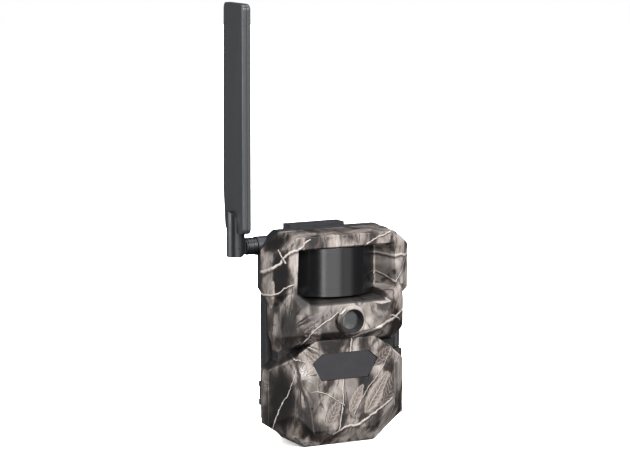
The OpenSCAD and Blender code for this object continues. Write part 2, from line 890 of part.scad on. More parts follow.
module contact_pins() {
    color("#d3a94a")
    for (z = pin_zs) peg(35, z, 0.9, panel_depth + panel_t + 0.2, 33);
}

modem_z = 129;

module modem_board() {
    color("#1f6b3c")
    block([-30, 30, modem_z], [30, 47, modem_z + 1.2]);
}

module modem_shield() {
    color("#b9bcc0")
    block([-14, 32, modem_z + 1.2], [16, 46, modem_z + 3.8]);
}

// ---------- antenna connector ----------

jack_r = 3.1;
jack_nut_r = 4.6;
jack_bore_r = 2.1;

module antenna_jack() {
    color("#c9a24f")
    difference() {
        union() {
            rod_x(-54.4, -41, jack_y, antenna_z, jack_r);
            rod_x(-41, -38.6, jack_y, antenna_z, 2.4);
        }
        rod_x(-56, -47, jack_y, antenna_z, jack_bore_r);
    }
}

module jack_nut() {
    color("#b9bcc0")
    difference() {
        rod_x(-44.5, -42, jack_y, antenna_z, jack_nut_r, 6);
        rod_x(-46, -40, jack_y, antenna_z, jack_r);
    }
}

lead_r = 0.7;
// Route of the thin lead from the connector to the modem board
lead_route = [
    [-38.6, jack_y, antenna_z], [-36.4, jack_y, antenna_z], [-34.4, jack_y - 0.4, 131.6],
    [-32.4, jack_y - 1.2, 132.2], [-30.4, jack_y - 2, 132.4], [-28.4, jack_y - 2.6, 132.2],
    [-26.4, jack_y - 3, 131.6], [-24.4, jack_y - 3, 131.2]
];
lead_sides = 10;
// A ring of points across the route at point i, upright and facing along X
function lead_ring(i) = [for (k = [0:lead_sides - 1])
    lead_route[i] + lead_r * [0, cos(360 * k / lead_sides), sin(360 * k / lead_sides)]];

module coax_lead() {
    rings = len(lead_route);
    points = [for (i = [0:rings - 1]) each lead_ring(i)];
    start_cap = [[for (k = [0:lead_sides - 1]) k]];
    end_cap = [[for (k = [lead_sides - 1:-1:0]) (rings - 1) * lead_sides + k]];
    sides = [for (i = [0:rings - 2], k = [0:lead_sides - 1])
        let (n = (k + 1) % lead_sides)
            [i * lead_sides + k, (i + 1) * lead_sides + k,
             (i + 1) * lead_sides + n, i * lead_sides + n]];
    color("#1a1a1a")
    polyhedron(points = points, faces = concat(start_cap, sides, end_cap));
}

// ---------- power socket ----------

port_x = 17;
port_depth = 38;
dc_bore_r = 2.8;

module dc_jack() {
    color("#1e1f22")
    union() {
        difference() {
            translate([port_x, depth(port_depth), 3])
                cylinder(h = 9, r = 4.7, $fn = 48);
            translate([port_x, depth(port_depth), 2])
                cylinder(h = 8.4, r = dc_bore_r, $fn = 48);
        }
        translate([port_x, depth(port_depth), 4])
            cylinder(h = 8, r = 0.8, $fn = 24);
    }
}

// Rubber cover with a stopper, held at its front edge
module port_plug() {
    color("#1a1a1a")
    union() {
        block([port_x - 7.6, port_depth - 4.6, 0.5], [port_x + 7.6, port_depth + 4.6, 1.7]);
        translate([port_x, depth(port_depth), 1.7])
            cylinder(h = 1.6, r = dc_bore_r - 0.4, $fn = 48);
    }
}

// ---------- latch ----------

lever_h = latch_h - 7.6;
lever_hub_r = 1.3;
lever_reach = 4.6;
lever_t = 1.6;

module latch_lever() {
    color("#222326")
    difference() {
        union() {
            translate([latch_x, depth(latch_pivot_depth), latch_z])
                cylinder(h = lever_h, r = lever_hub_r, center = true, $fn = 48);
            block([latch_x - lever_hub_r, latch_pivot_depth - lever_reach, latch_z - lever_h / 2],
                  [latch_x - lever_hub_r + lever_t, latch_pivot_depth, latch_z + lever_h / 2]);
        }
        translate([latch_x, depth(latch_pivot_depth), latch_z])
            cylinder(h = lever_h + 2, r = latch_pin_r + fit_gap, center = true, $fn = 32);
    }
}

module latch_pin() {
    color("#a9abae")
    translate([latch_x, depth(latch_pivot_depth), latch_z])
        cylinder(h = latch_h, r = latch_pin_r, center = true, $fn = 32);
}

// ---------- antenna ----------

tilt_x = -62.2;
blade_x = -61;
// The blade starts this far above the tilt axis, just clear of the post's shoulder
blade_rise = 9.9;
blade_low = antenna_z + blade_rise;
lap_gap = 0.1;
post_r = 6;
// Places along X between which the post laps the blade's outer face
lap_end_x = -72.2;
lap_depth = blade_x - blade_t / 2 - lap_gap - lap_end_x;
lap_top = 18;
nut_r = 5.7;
nut_x0 = -54.9;
nut_x1 = -48.5;
nut_groove = 0.5;
nut_ridge_w = 1.4;
nut_ridge_pitch = 2.5;
flange_r = 5.2;
tongue_t = 5.2;
tongue_r = 4;
tongue_gap = 0.2;
tilt_pin_r = 1.1;
tilt_pin_l = 12.2;

// Coupling nut with a grooved outside
module antenna_nut() {
    color("#33363a")
    difference() {
        union() {
            rod_x(nut_x0, nut_x1, jack_y, antenna_z, nut_r - nut_groove);
            for (x = [nut_x0, nut_x0 + nut_ridge_pitch, nut_x0 + 2 * nut_ridge_pitch])
                rod_x(x, x + nut_ridge_w, jack_y, antenna_z, nut_r);
        }
        rod_x(-56, -47, jack_y, antenna_z, jack_r + fit_gap);
    }
}

// Flange, spigot and flat tongue, with the tilt pin fixed in the tongue
module antenna_neck() {
    color("#2c2f33")
    union() {
        rod_x(-56, -55.05, jack_y, antenna_z, flange_r);
        rod_x(-55.05, -50, jack_y, antenna_z, jack_bore_r - fit_gap);
        translate([tilt_x, jack_y - tongue_t / 2, antenna_z - tongue_r])
            cube([-55.9 - tilt_x, tongue_t, 2 * tongue_r]);
        translate([tilt_x, jack_y, antenna_z])
            rotate([90, 0, 0]) {
                cylinder(h = tongue_t, r = tongue_r, center = true, $fn = 48);
                cylinder(h = tilt_pin_l, r = tilt_pin_r, center = true, $fn = 32);
            }
    }
}

// Round post, slotted for the tongue, with a half-round boss that laps the blade
module antenna_knuckle() {
    color("#4a4d51")
    difference() {
        union() {
            intersection() {
                translate([tilt_x, jack_y, antenna_z - post_r])
                    cylinder(h = post_r + blade_rise - lap_gap, r = post_r, $fn = 64);
                union() {
                    translate([tilt_x, jack_y, antenna_z])
                        rotate([90, 0, 0])
                            cylinder(h = 3 * post_r, r = post_r, center = true, $fn = 64);
                    translate([tilt_x - 2 * post_r, jack_y - 2 * post_r, antenna_z])
                        cube([4 * post_r, 4 * post_r, lap_top]);
                    // Square corner on the side that never passes the coupling nut
                    translate([tilt_x - 2 * post_r, jack_y - 2 * post_r, antenna_z - post_r])
                        cube([2 * post_r, 4 * post_r, 2 * post_r]);
                }
            }
            intersection() {
                translate([tilt_x, jack_y, antenna_z])
                    cylinder(h = lap_top + post_r + 1, r = post_r, $fn = 64);
                translate([lap_end_x, jack_y, antenna_z + lap_top])
                    rotate([0, 90, 0])
                        cylinder(h = lap_depth, r = post_r, $fn = 64);
            }
            intersection() {
                translate([tilt_x, jack_y, antenna_z])
                    cylinder(h = lap_top, r = post_r, $fn = 64);
                translate([lap_end_x, jack_y - 2 * post_r, antenna_z])
                    cube([lap_depth, 4 * post_r, lap_top]);
            }
        }
        // Slot for the tongue
        translate([tilt_x - tongue_r - 0.6, jack_y - tongue_t / 2 - tongue_gap, antenna_z - post_r - 2])
            cube([16, tongue_t + 2 * tongue_gap, post_r + tongue_r + 2.6]);
        translate([tilt_x, jack_y, antenna_z])
            rotate([90, 0, 0])
                cylinder(h = 3 * post_r, r = tilt_pin_r + fit_gap, center = true, $fn = 32);
    }
}

// Outline of the blade in its own plane, with round corners
module blade_outline(w, l, r) {
    translate([-w / 2 + r, 0]) square([w - 2 * r, l]);
    translate([-w / 2, r]) square([w, l - 2 * r]);
    for (x = [-w / 2 + r, w / 2 - r], y = [r, l - r])
        translate([x, y]) circle(r = r, $fn = 48);
}

radiator_t = 1;
radiator_w = 20;
radiator_l = 118;
radiator_low = blade_low + 12;
radiator_gap = 0.1;
blade_corner_r = 4;

// One of the two shells of the blade, between two places along X, with a pocket inside
module blade_half(x0, x1) {
    difference() {
        translate([x0, jack_y, blade_low])
            rotate([90, 0, 90])
                linear_extrude(x1 - x0)
                    blade_outline(blade_w, blade_l, blade_corner_r);
        translate([
            blade_x - radiator_t / 2 - radiator_gap, jack_y - radiator_w / 2 - radiator_gap,
            radiator_low - radiator_gap
        ])
            cube([radiator_t, radiator_w, radiator_l] + 2 * radiator_gap * [1, 1, 1]);
    }
}

module blade_outer_half() {
    color("#5b5e62")
    blade_half(blade_x - blade_t / 2, blade_x);
}

module blade_inner_half() {
    color("#55585c")
    blade_half(blade_x, blade_x + blade_t / 2);
}

module antenna_radiator() {
    color("#1f6b3c")
    translate([blade_x - radiator_t / 2, jack_y - radiator_w / 2, radiator_low])
        cube([radiator_t, radiator_w, radiator_l]);
}

front_housing();
lens_bezel();
lens_cover_glass();
lens_barrel();
front_lens_element();
filter_carrier();
ir_cut_filter();
image_sensor();
sensor_board();
pir_window();
pir_sensor();
pir_board();
ir_window();
lamp_board();
ir_lamps();
main_board();
board_components();
microphone();
inner_panel();
lcd_screen();
menu_button();
ok_button();
up_button();
down_button();
left_button();
right_button();
mode_switch_body();
mode_switch();
card_slot();
memory_card();
sim_slot();
sim_card();
contact_pads();
panel_screws();
board_screws();
rear_case();
case_gasket();
tripod_insert();
battery_tray();
battery_terminals();
aa_cells();
tray_screws();
contact_block();
contact_pins();
modem_board();
modem_shield();
antenna_jack();
jack_nut();
coax_lead();
dc_jack();
port_plug();
latch_lever();
latch_pin();
hinge_pin();
antenna_nut();
antenna_neck();
antenna_knuckle();
blade_outer_half();
blade_inner_half();
antenna_radiator();
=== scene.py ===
# %% [markdown]
# # A cellular trail camera
# The camera straps to a tree. Its case is two plastic halves that close like a book on a hinge.
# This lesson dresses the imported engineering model: the shapes get their rounded edges and the
# plastics, glass, metal and rubber get their finishes. Everything is in metres, z is up, and the
# front of the camera faces -Y.

import json
import math

import bmesh
import bpy
from mathutils import Matrix, Vector

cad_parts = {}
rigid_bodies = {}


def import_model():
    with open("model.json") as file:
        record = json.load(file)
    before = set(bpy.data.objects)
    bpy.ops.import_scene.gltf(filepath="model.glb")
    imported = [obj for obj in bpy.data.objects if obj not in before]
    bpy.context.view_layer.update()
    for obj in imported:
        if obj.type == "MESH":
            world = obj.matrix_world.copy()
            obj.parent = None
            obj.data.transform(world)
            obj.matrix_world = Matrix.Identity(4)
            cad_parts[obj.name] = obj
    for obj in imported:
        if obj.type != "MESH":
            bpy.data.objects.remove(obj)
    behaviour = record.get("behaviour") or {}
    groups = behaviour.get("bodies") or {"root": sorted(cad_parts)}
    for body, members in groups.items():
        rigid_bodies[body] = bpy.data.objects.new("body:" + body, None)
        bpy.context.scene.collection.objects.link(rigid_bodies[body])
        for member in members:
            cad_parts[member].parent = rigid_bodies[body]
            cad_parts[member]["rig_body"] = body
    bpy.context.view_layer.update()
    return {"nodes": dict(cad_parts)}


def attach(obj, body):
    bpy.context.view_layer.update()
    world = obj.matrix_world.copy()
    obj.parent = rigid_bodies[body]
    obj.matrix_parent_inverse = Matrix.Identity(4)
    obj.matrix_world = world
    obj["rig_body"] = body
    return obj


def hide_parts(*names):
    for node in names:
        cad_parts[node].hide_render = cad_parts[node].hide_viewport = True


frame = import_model()

# %% [markdown]
# ## Places
# Moulders measure a case from its parting plane or its front face. Here "depth" is millimetres
# behind the front frame of the head, and one function turns such a place into metres.

# %% Millimetres to metres
MM = 0.001
FRONT_Y = -35.0


def at(x, depth, z):
    """The point x mm across, depth mm behind the front frame and z mm up, in metres."""
    return Vector((x, FRONT_Y + depth, z)) * MM


print("front frame plane at y =", round(at(0, 0, 0).y, 4), "m")

# %% [markdown]
# ## The viewpoint
# A long lens far away keeps upright lines upright. The camera looks from the left of the front
# and a little above. It comes first, because every finish is judged through it.

# %% Camera
VIEW_AZIMUTH = math.radians(-27)
VIEW_ELEVATION = math.radians(8.5)
VIEW_DISTANCE_MM = 1634
AIM_RIGHT_MM = -20.62
AIM_UP_MM = 144.6
LENS_MM = 142.857

back = Vector((
    math.sin(VIEW_AZIMUTH) * math.cos(VIEW_ELEVATION),
    -math.cos(VIEW_AZIMUTH) * math.cos(VIEW_ELEVATION),
    math.sin(VIEW_ELEVATION),
))
right = Vector((math.cos(VIEW_AZIMUTH), math.sin(VIEW_AZIMUTH), 0))
up = back.cross(right)
camera_data = bpy.data.cameras.new("viewpoint")
camera_data.lens = LENS_MM
camera_data.sensor_width = 36
camera_data.clip_end = 20
camera = bpy.data.objects.new("viewpoint", camera_data)
camera.location = at(0, 0, 0) + MM * (
    VIEW_DISTANCE_MM * back + AIM_RIGHT_MM * right + AIM_UP_MM * up)
camera.rotation_mode = "QUATERNION"
camera.rotation_quaternion = (-back).to_track_quat("-Z", "Y")
bpy.context.scene.collection.objects.link(camera)
bpy.context.scene.camera = camera
bpy.context.scene.view_settings.view_transform = "Standard"
print("camera is", round(camera.location.length, 3), "m from the origin")

# %% [markdown]
# ## Soft light
# A product table has large soft boxes. A tall narrow one at the left front draws the bright upright
# line on the round window. A broad one in front, with a smaller one above it, lights the face, and
# one overhead lifts the top edges. Weak ones at the sides and the back keep those sides readable. A
# box is an area light on a ring round the object, turned to face it.


# %% Soft boxes
RING_MIDDLE_Z = 0.09
SOFT_BOXES = [
    # name, azimuth and elevation in degrees, distance, width and height in metres, watts
    ("tall_box_left", -24, -4, 1.1, 0.12, 1.3, 4.5),
    ("broad_box_front", -2, 0, 1.3, 0.75, 1.2, 8.5),
    ("dim_box_front", 30, 0, 1.3, 0.5, 1.2, 2.2),
    ("key_box_front", 6, 33, 1.3, 0.6, 0.4, 20),
    ("side_box_left", -96, 8, 1.2, 0.4, 0.8, 12),
    ("overhead_box", 0, 84, 1.1, 0.8, 0.6, 12),
    ("fill_box_left_back", 240, 8, 1.5, 0.6, 0.8, 6),
    ("fill_box_right_back", 125, 10, 1.5, 0.6, 0.8, 6),
]


def soft_box(name, azimuth, elevation, distance, width, height, watts):
    """An area light on a ring round the object. Azimuth 0 is in front, 90 on its right."""
    light = bpy.data.lights.new(name, "AREA")
    light.shape = "RECTANGLE"
    light.size = width
    light.size_y = height
    light.energy = watts
    turn, rise = math.radians(azimuth), math.radians(elevation)
    away = Vector((
        math.sin(turn) * math.cos(rise), -math.cos(turn) * math.cos(rise), math.sin(rise)))
    lamp = bpy.data.objects.new(name, light)
    lamp.location = away * distance + Vector((0, 0, RING_MIDDLE_Z))
    lamp.rotation_mode = "QUATERNION"
    lamp.rotation_quaternion = away.to_track_quat("Z", "Y")
    bpy.context.scene.collection.objects.link(lamp)
    return lamp


for row in SOFT_BOXES:
    soft_box(*row)
print("soft boxes:", len(SOFT_BOXES))


# %% [markdown]
# ## Nodes and colours
# Paint colours are written as sRGB hex, the way a colour chart gives them, and the renderer wants
# linear light. One small function adds a shader node, sets it and links it, so that a finish reads
# as a list of steps.


# %% Node and colour helpers
def colour(hex_text):
    """The linear RGBA of an sRGB hex colour."""
    channels = [int(hex_text[i:i + 2], 16) / 255 for i in (1, 3, 5)]
    linear = [c / 12.92 if c <= 0.04045 else ((c + 0.055) / 1.055) ** 2.4 for c in channels]
    return (*linear, 1.0)


def feed(tree, node, inputs):
    """Sets a node's inputs. Each is a value, a socket to link, or a node for its first output."""
    for key, value in inputs.items():
        if isinstance(value, bpy.types.Node):
            value = value.outputs[0]
        if isinstance(value, bpy.types.NodeSocket):
            tree.links.new(value, node.inputs[key])
        else:
            node.inputs[key].default_value = value


def add_node(tree, kind, settings=None, inputs=None):
    """Adds a node with its settings and its inputs."""
    node = tree.nodes.new("ShaderNode" + kind)
    for name, value in (settings or {}).items():
        setattr(node, name, value)
    feed(tree, node, inputs or {})
    return node


def set_ramp(node, stops):
    """Gives a Color Ramp node its stops, each a place and a linear RGBA."""
    elements = node.color_ramp.elements
    while len(elements) < len(stops):
        elements.new(1.0)
    for element, (place, rgba) in zip(elements, stops):
        element.position = place
        element.color = rgba
    return node


def start_finish(name, **surface):
    """A new material with its shader's plain numbers set. Returns it, its tree and its shader."""
    made = bpy.data.materials.new(name)
    made.use_nodes = True
    shader = made.node_tree.nodes["Principled BSDF"]
    for socket, value in surface.items():
        shader.inputs[socket.replace("_", " ")].default_value = value
    return made, made.node_tree, shader


def position_mm(tree):
    """The place on the object in millimetres."""
    place = add_node(tree, "TexCoord")
    return add_node(tree, "Mapping", inputs={
        "Vector": place.outputs["Object"], "Scale": (1 / MM,) * 3})


def depth_mm(tree, xyz):
    """The depth behind the front frame, from a split place."""
    return add_node(tree, "Math", {"operation": "ADD"}, {0: xyz.outputs[1], 1: -FRONT_Y})


print("white in linear light:", colour("#ffffff")[:3])

# %% [markdown]
# ## Floor and room
# A wide pale table top carries the object. A lamp of its own washes it white, through a light
# link. The room is white to look at, but gives less light than the boxes do, and the table sends
# no light back, so that dark plastics keep their depth.

# %% Floor and world
FLOOR_RADIUS = 4.0
FLOOR_DROP = 0.0004
WASH_SIZE = 9.0
WASH_HEIGHT = 2.6
WASH_WATTS = 1500
floor_mesh = bmesh.new()
bmesh.ops.create_circle(floor_mesh, cap_ends=True, segments=128, radius=FLOOR_RADIUS)
bmesh.ops.translate(floor_mesh, verts=floor_mesh.verts, vec=(0, 0, -FLOOR_DROP))
floor_data = bpy.data.meshes.new("floor")
floor_mesh.to_mesh(floor_data)
floor_mesh.free()
floor = bpy.data.objects.new("floor", floor_data)
bpy.context.scene.collection.objects.link(floor)
floor_paint, floor_tree, floor_shader = start_finish("painted_table_top", Roughness=0.9)
floor_shader.inputs["Specular IOR Level"].default_value = 0.1
floor_grain = add_node(floor_tree, "TexNoise", inputs={
    "Vector": position_mm(floor_tree), "Scale": 0.05, "Detail": 3.0})
floor_tint = add_node(floor_tree, "Mix", {"data_type": "RGBA"}, {
    0: floor_grain, 6: colour("#f4f3f1"), 7: colour("#fafafa")})
feed(floor_tree, floor_shader, {"Base Color": floor_tint.outputs[2]})
floor_data.materials.append(floor_paint)
floor.visible_diffuse = False
floor.visible_glossy = False
wash = soft_box("table_wash", 0, 90, WASH_HEIGHT, WASH_SIZE, WASH_SIZE, WASH_WATTS)
washed = bpy.data.collections.new("washed")
washed.objects.link(floor)
wash.light_linking.receiver_collection = washed

room = bpy.data.worlds.new("room")
room.use_nodes = True
bpy.context.scene.world = room
air = room.node_tree.nodes["Background"]
rays = add_node(room.node_tree, "LightPath")
seen = add_node(room.node_tree, "Mix", {"data_type": "RGBA"}, {
    0: rays.outputs["Is Camera Ray"], 6: colour("#505154"), 7: colour("#ffffff")})
feed(room.node_tree, air, {"Color": seen.outputs[2]})
print("floor radius", FLOOR_RADIUS, "m")


# %% [markdown]
# ## The camouflage print
# The case is matt ABS, dipped in a printed film of bark, branches, needles and leaves. The print
# is flat, and the dip folds it round the corners. So the pattern is drawn on a flat sheet whose
# across direction runs on along the side walls, and whose up direction runs on over the top.

# %% Unfold the sheet
WRAP = 0.9  # mm along the sheet for each mm of depth on a side wall
SIDE_X = 40  # the film folds over to the side walls from the middle out to here
ROOF_FROM, ROOF_TO = 126, 138
SOLE_FROM, SOLE_TO = 10, 0


def flat_sheet(tree):
    """The place on the flat printed film, in mm: across in x and up in y."""
    xyz = add_node(tree, "SeparateXYZ", inputs={0: position_mm(tree)})
    depth = depth_mm(tree, xyz)
    side = add_node(tree, "MapRange", inputs={
        0: xyz.outputs[0], 1: -SIDE_X, 2: SIDE_X, 3: -WRAP, 4: WRAP})
    roof = add_node(tree, "MapRange", inputs={
        0: xyz.outputs[2], 1: ROOF_FROM, 2: ROOF_TO, 3: 0, 4: WRAP})
    sole = add_node(tree, "MapRange", inputs={
        0: xyz.outputs[2], 1: SOLE_FROM, 2: SOLE_TO, 3: 0, 4: -WRAP})
    fold = add_node(tree, "Math", {"operation": "ADD"}, {0: roof, 1: sole})
    across = add_node(tree, "Math", {"operation": "MULTIPLY_ADD"}, {
        0: depth, 1: side, 2: xyz.outputs[0]})
    upward = add_node(tree, "Math", {"operation": "MULTIPLY_ADD"}, {
        0: depth, 1: fold, 2: xyz.outputs[2]})
    return add_node(tree, "CombineXYZ", inputs={0: across, 1: upward})


def on_sheet(tree, sheet, start, end):
    """Coordinates of a drawn mark: x runs 0 to 1 from start to end, y is mm to its left."""
    run = Vector(end) - Vector(start)
    turned = add_node(tree, "Mapping", {"vector_type": "TEXTURE"}, {
        "Vector": sheet, "Location": (*start, 0),
        "Rotation": (0, 0, math.atan2(run.y, run.x)), "Scale": (run.length, 1, 1)})
    return add_node(tree, "SeparateXYZ", inputs={0: turned})


def bend(tree, along, points, sharp=False):
    """A curve of height in mm over 0 to 1 along a mark."""
    curve = add_node(tree, "FloatCurve", inputs={"Value": along})
    mapping = curve.mapping
    mapping.use_clip = False
    line = mapping.curves[0]
    line.points[0].location = points[0]
    line.points[1].location = points[-1]
    for place in points[1:-1]:
        line.points.new(*place)
    for point in line.points:
        point.handle_type = "VECTOR" if sharp else "AUTO"
    mapping.update()
    return curve


def paint(tree, below, above, amount):
    """Lays one colour over another by an amount."""
    return add_node(tree, "Mix", {"data_type": "RGBA"}, {
        0: amount, 6: below, 7: above}).outputs[2]


print("film folds over between", ROOF_FROM, "and", ROOF_TO, "mm up")

# %% [markdown]
# ### Bark
# Bark has broad light and dark plates and fine upright cracks. Two noises stretched upwards make
# them: plates some 15 mm wide and cracks about 1.7 mm wide. A few thin dark fissures run between
# the plates, where the cells of a stretched Voronoi pattern meet.

# %% Bark ground
PLATE_MM = 15
CRACK_MM = 1.7
CRACK_LENGTH_MM = 11
FISSURE_MM = 12
PLATE_SHARE, CRACK_SHARE = 0.85, 0.17
PLATE_STRETCH, FISSURE_STRETCH = 0.62, 0.4  # across over up, less than 1 for upright marks
FISSURE_LEAN = math.radians(12)


def bark(tree, sheet):
    """The colour of the bark ground, and a fine crack pattern that later marks share."""
    plates = add_node(tree, "TexNoise", inputs={
        "Vector": add_node(tree, "Mapping", inputs={
            "Vector": sheet, "Scale": (1 / PLATE_MM, PLATE_STRETCH / PLATE_MM, 1),
            "Location": (3.1, 0.7, 0)}),
        "Scale": 1.0, "Detail": 3.0, "Roughness": 0.55, "Distortion": 0.5})
    cracks = add_node(tree, "TexNoise", inputs={
        "Vector": add_node(tree, "Mapping", inputs={
            "Vector": sheet, "Scale": (1 / CRACK_MM, 1 / CRACK_LENGTH_MM, 1)}),
        "Scale": 1.0, "Detail": 5.0, "Roughness": 0.6, "Distortion": 0.35})
    mixed = add_node(tree, "Math", {"operation": "MULTIPLY_ADD"}, {
        0: cracks, 1: CRACK_SHARE, 2: add_node(tree, "Math", {"operation": "MULTIPLY"}, {
            0: plates, 1: PLATE_SHARE})})
    ground = set_ramp(add_node(tree, "ValToRGB", inputs={0: mixed}), [
        (0.38, colour("#181412")), (0.45, colour("#413935")), (0.505, colour("#79706a")),
        (0.56, colour("#958c86")), (0.66, colour("#b3aaa4"))])
    cells = add_node(tree, "TexVoronoi", {"feature": "DISTANCE_TO_EDGE"}, {
        "Vector": add_node(tree, "Mapping", inputs={
            "Vector": sheet, "Scale": (1 / FISSURE_MM, FISSURE_STRETCH / FISSURE_MM, 1),
            "Rotation": (0, 0, FISSURE_LEAN)}),
        "Scale": 1.0})
    thin = add_node(tree, "MapRange", inputs={0: cells.outputs["Distance"], 1: 0.035, 2: 0.015})
    broken = add_node(tree, "MapRange", inputs={0: cracks, 1: 0.56, 2: 0.46, 4: 0.8})
    fissures = add_node(tree, "Math", {"operation": "MULTIPLY"}, {
        0: thin, 1: broken})
    return paint(tree, ground, colour("#1f1a18"), fissures), cracks


# %% [markdown]
# ### Dark hollows
# Between the branches the print shows deep shade. Soft dark patches lie there, each an oval
# whose edge is broken up by the cracks.

# %% Dark hollows
HOLLOWS = [
    # middle across, middle up, half width, half height, strength
    (-50, 33, 12, 26, 0.97), (-45, 80, 10, 18, 0.95), (-51, 112, 8, 22, 0.97),
    (-25, 26, 5, 26, 0.7), (12, 34, 16, 18, 0.45), (46, 78, 6, 7, 0.8),
    (-22, 12, 12, 7, 0.75), (40, 18, 9, 10, 0.6), (-62, 60, 7, 26, 0.6),
    (36, 110, 6, 8, 0.6), (68, 40, 12, 18, 0.6), (66, 112, 10, 16, 0.65),
    (-6, 4, 9, 4, 0.65), (40, 150, 16, 5, 0.6), (-34, 98, 7, 5, 0.7),
    (-56, 146, 16, 17, 1.0), (0, 157, 52, 9, 0.8), (46, 34, 4, 20, 0.5),
    (-12, 88, 24, 9, 0.45), (28, 82, 13, 11, 0.45), (-66, 20, 9, 12, 0.7),
]
RAGGED = 1.7  # how far the cracks bite into an oval's edge


def shade_hollows(tree, sheet, cracks, below):
    """Darkens the ground inside each hollow."""
    for across, upward, half_w, half_h, strength in HOLLOWS:
        oval = add_node(tree, "Mapping", {"vector_type": "TEXTURE"}, {
            "Vector": sheet, "Location": (across, upward, 0), "Scale": (half_w, half_h, 1)})
        reach = add_node(tree, "VectorMath", {"operation": "LENGTH"}, {0: oval})
        ragged = add_node(tree, "Math", {"operation": "MULTIPLY_ADD"}, {
            0: cracks, 1: -RAGGED, 2: reach.outputs["Value"]})
        amount = add_node(tree, "MapRange", {"interpolation_type": "SMOOTHSTEP"}, {
            0: ragged, 1: -0.45, 2: 0.42, 3: strength, 4: 0})
        below = paint(tree, below, colour("#110e0d"), amount)
    return below


print("hollows:", len(HOLLOWS))

# %% [markdown]
# ### Pine needles
# A tuft of needles spreads from one twig like a fan. Seen from the tuft's middle only the angle
# matters, so a noise along the angle draws the needles, and distance fades their tips.

# %% Needle tufts
TUFTS = [
    # middle across and up, radius, heading in degrees, half spread, needles per turn, colour
    (-44, 77, 30, 35, 75, 50, "#1d1816"), (-40, 70, 25, 8, 55, 44, "#2a2320"),
    (-52, 46, 20, 196, 70, 60, "#171311"), (-36, 46, 22, 262, 70, 50, "#15110f"),
    (-33, 47, 11, 60, 100, 55, "#cfc8c2"), (-29, 51, 8, 180, 70, 50, "#ddd6d1"),
    (22, 6, 15, 96, 38, 70, "#2a2421"), (6, 4, 13, 84, 40, 60, "#3a322e"),
    (50, 84, 12, 150, 60, 50, "#2a2421"), (-40, 14, 14, 60, 60, 60, "#2b2522"),
    (62, 66, 18, 110, 70, 70, "#241e1c"), (58, 22, 16, 80, 60, 60, "#2b2522"),
]
CURL = 0.25  # radians that a needle bends by, out to the tuft's radius
TUFT_STEP = 31.7  # moves each tuft to its own stretch of the noise


def draw_tufts(tree, sheet, below):
    """Draws each tuft as a fan of thin lines."""
    for number, (across, upward, radius, heading, spread, count, shade) in enumerate(TUFTS):
        fan = add_node(tree, "Mapping", {"vector_type": "TEXTURE"}, {
            "Vector": sheet, "Location": (across, upward, 0),
            "Rotation": (0, 0, math.radians(heading)), "Scale": (radius, radius, 1)})
        part = add_node(tree, "SeparateXYZ", inputs={0: fan})
        reach = add_node(tree, "VectorMath", {"operation": "LENGTH"}, {0: fan})
        angle = add_node(tree, "Math", {"operation": "ARCTAN2"}, {
            0: part.outputs[1], 1: part.outputs[0]})
        curl = add_node(tree, "Math", {"operation": "MULTIPLY_ADD"}, {
            0: reach.outputs["Value"], 1: CURL, 2: angle})
        needles = add_node(tree, "TexNoise", {"noise_dimensions": "1D"}, {
            "W": add_node(tree, "Math", {"operation": "MULTIPLY_ADD"}, {
                0: curl, 1: count / (2 * math.pi), 2: TUFT_STEP * number}),
            "Scale": 1.0, "Detail": 1.0})
        lines = add_node(tree, "MapRange", inputs={0: needles, 1: 0.5, 2: 0.56})
        tips = add_node(tree, "MapRange", inputs={0: reach.outputs["Value"], 1: 1.0, 2: 0.55})
        sides = add_node(tree, "MapRange", inputs={
            0: add_node(tree, "Math", {"operation": "ABSOLUTE"}, {0: angle}),
            1: math.radians(spread), 2: math.radians(spread * 0.6)})
        amount = add_node(tree, "Math", {"operation": "MULTIPLY"}, {
            0: lines, 1: add_node(tree, "Math", {"operation": "MULTIPLY"}, {
                0: tips, 1: sides})})
        below = paint(tree, below, colour(shade), amount)
    return below


print("needle tufts:", len(TUFTS))

# %% [markdown]
# ### Leaves
# A fallen oak leaf is a long lens shape with a pale midrib and side veins that slant forward. The
# outline is a curve of half width along the leaf, and a folded sine gives the veins.

# %% Leaves
PALE, WORN, ROOF_PALE = ("#a49a93", "#5f554f"), ("#a0968f", "#5f554f"), ("#8f8580", "#4d4540")
LEAVES = [
    # stalk, tip, half width, pale and dark colours
    ((16, 20), (34, 47), 6.5, ("#a1978f", "#544b46")),
    ((30, 24), (46, 52), 5.5, ("#5b524c", "#2a2421")),
    ((4, 22), (14, 40), 4.5, ("#998f89", "#61574f")),
    ((20, 52), (40, 64), 4.5, ("#6e645e", "#37302c")),
    ((-18, 55), (-30, 65), 4.5, WORN), ((-14, 14), (-3, 32), 5.0, ("#8d837d", "#4f4641")),
    ((12, 100), (30, 94), 3.5, ("#aaa09a", "#776d67")),
    ((54, 30), (60, 58), 6.0, ("#9c928b", "#564d48")),
    ((-64, 92), (-56, 112), 5.0, PALE), ((52, 126), (70, 112), 6.0, PALE),
    ((8, 146), (32, 152), 4.5, ROOF_PALE), ((-20, 152), (-40, 140), 4.5, ROOF_PALE),
]
VEIN_MM = 3.04
VEIN_SLANT = 0.9


